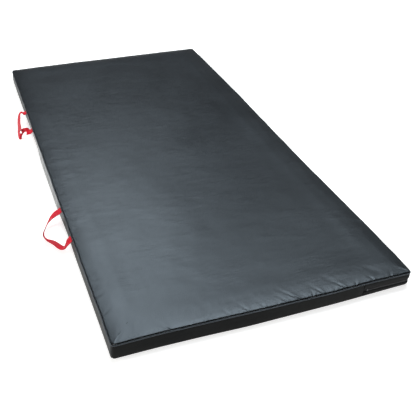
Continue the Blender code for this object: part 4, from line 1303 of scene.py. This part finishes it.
def handle(name, middle_y, route, nodes):
    """A strap sewn into the seam at both ends: two hidden tails and the loop between them, in one piece."""
    path, turns = loop_path(middle_y, route)
    bend = WEBBING_THICKNESS

    def tail(sign, width):
        y = middle_y + sign * HANDLE_SPAN / 2
        line = [(TAIL_X, WEBBING_UP - down) for down in (HANDLE_TAIL, HANDLE_TAIL / 2, 3 * bend, bend)]
        line.append((TAIL_X - 0.3 * bend, WEBBING_UP - 0.3 * bend))
        line += [(x, WEBBING_UP) for x in (TAIL_X - bend, SEAM_LINE_X + 0.0006, HINGE_X + 0.0006)]
        return np.array([(x, y, z) for x, z in line]), np.tile(width, (len(line), 1))

    first, first_turns = tail(1, turns[0])
    last, last_turns = tail(-1, turns[-1])
    centres = np.concatenate([first, path, last[::-1]])
    # It leaves the seam where the filling has lifted it, and drops to its hinge's height just outside
    rooted = np.clip((centres[:, 0] - DROPPED_X) / DROP_REACH, 0, 1)
    centres[:, 2] += rooted * rooted * (3 - 2 * rooted) * filled(centres[:, 2])
    widths = np.concatenate([first_turns, turns, last_turns])
    ahead = np.gradient(centres, axis=0)
    ahead /= np.linalg.norm(ahead, axis=1, keepdims=True)
    through = np.cross(ahead, widths)
    through /= np.linalg.norm(through, axis=1, keepdims=True)
    along = np.concatenate([[0], np.cumsum(np.linalg.norm(np.diff(centres, axis=0), axis=1))])
    outline = strap_outline()
    count = len(outline)
    rows = [centres + widths * x + through * t for x, t in outline]
    points = np.stack(rows, 1).reshape(-1, 3)
    flat = np.array([(x + WEBBING_WIDTH / 2, run) for run in along for x, _ in outline])
    faces = strip_faces(len(centres), count, close_columns=True)
    faces = [face[::-1] for face in faces]
    faces.append(tuple(range(count)))
    faces.append(tuple((len(centres) - 1) * count + k for k in range(count))[::-1])
    strap = new_piece(name, points, faces, RED, uv=flat, sharp_deg=55)
    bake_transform(strap)
    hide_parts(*nodes)


# The studio
def studio():
    floor = bpy.data.meshes.new("floor")
    floor.from_pydata([(-12, -12, 0), (12, -12, 0), (12, 12, 0), (-12, 12, 0)], [], [(0, 1, 2, 3)])
    ground = bpy.data.objects.new("floor", floor)
    bpy.context.scene.collection.objects.link(ground)
    paper = Nodes("pale_paper", (0.62, 0.62, 0.62), 0.9)
    rough = paper.span(paper.noise(paper.place(), 30), 0.3, 0.7, 0.85, 0.95)
    lit = {"Emission_Color": (1.0, 1.0, 1.0, 1.0), "Emission_Strength": 0.78}
    floor.materials.append(paper.finish(roughness=rough, Specular_IOR_Level=0.0, **lit))
    ground.location.z = -0.0002

    # Pale at the horizon, as the studio's walls are, and dim above them
    world = bpy.data.worlds.new("studio")
    world.use_nodes = True
    tree = world.node_tree
    direction = tree.nodes.new("ShaderNodeTexCoord")
    split = tree.nodes.new("ShaderNodeSeparateXYZ")
    walls = tree.nodes.new("ShaderNodeMapRange")
    for socket, value in (("From Min", 0.07), ("From Max", 0.15), ("To Min", 0.90), ("To Max", 0.05)):
        walls.inputs[socket].default_value = value
    background = tree.nodes["Background"]
    background.inputs["Color"].default_value = (1.0, 1.0, 1.0, 1.0)
    tree.links.new(direction.outputs["Generated"], split.inputs["Vector"])
    tree.links.new(split.outputs["Z"], walls.inputs["Value"])
    tree.links.new(walls.outputs["Result"], background.inputs["Strength"])
    bpy.context.scene.world = world
    bpy.context.scene.view_settings.view_transform = "Standard"

    for name, place, target, size, power, colour in (
        ("softbox_behind", (0.17, 2.19, 2.6), (0.17, 2.19, 0.0), (1.4, 2.1), 68.0, (0.88, 0.96, 1.0)),
        ("softbox_above", (0.80, 0.20, 2.6), (0.80, 0.20, 0.0), (2.3, 1.2), 84.0, (0.92, 0.98, 1.0)),
        ("softbox_right", (2.20, 2.30, 2.6), (2.20, 2.30, 0.0), (1.0, 1.0), 5.0, (0.92, 0.98, 1.0)),
        ("left_fill", (-3.0, -0.3, 1.1), (0.0, 0.0, 0.0), (2.0, 1.0), 55.0, (1.0, 0.97, 0.88)),
    ):
        data = bpy.data.lights.new(name, "AREA")
        data.shape = "RECTANGLE"
        data.size, data.size_y = size
        data.energy = power
        data.color = colour
        light = bpy.data.objects.new(name, data)
        light.location = place
        # The fill is low, and would glare on the top seen from the other side
        light.visible_glossy = name != "left_fill"
        light.rotation_euler = (Vector(target) - Vector(place)).to_track_quat("-Z", "Y").to_euler()
        bpy.context.scene.collection.objects.link(light)


aim_camera()
foam_core()
top_cover()
side_boxing()
zip_boxing()
PIPING_LOOKS = PIPING_LEATHER, "piping_cover", "satin_leatherette"
round_tube("piping_sleeve", PIPING_RADIUS, *PIPING_LOOKS, flange=-0.0044, lumpy=0.00008)
round_tube("piping_core", PIPING_CORD_RADIUS, CORD, "piping_cord", "piping_cord")
base_cover()
zip_tapes()
zip_chain()
end_patches()
zip_metal()
for side_end, handle_y, handle_route in (
    ("front", FRONT_HANDLE_Y, FRONT_ROUTE),
    ("rear", REAR_HANDLE_Y, REAR_ROUTE),
):
    handle_nodes = [f"{side_end}_handle_{part}" for part in ("loop", "tail_front", "tail_rear")]
    handle(f"{side_end}_handle_strap", handle_y, handle_route, handle_nodes)
studio()
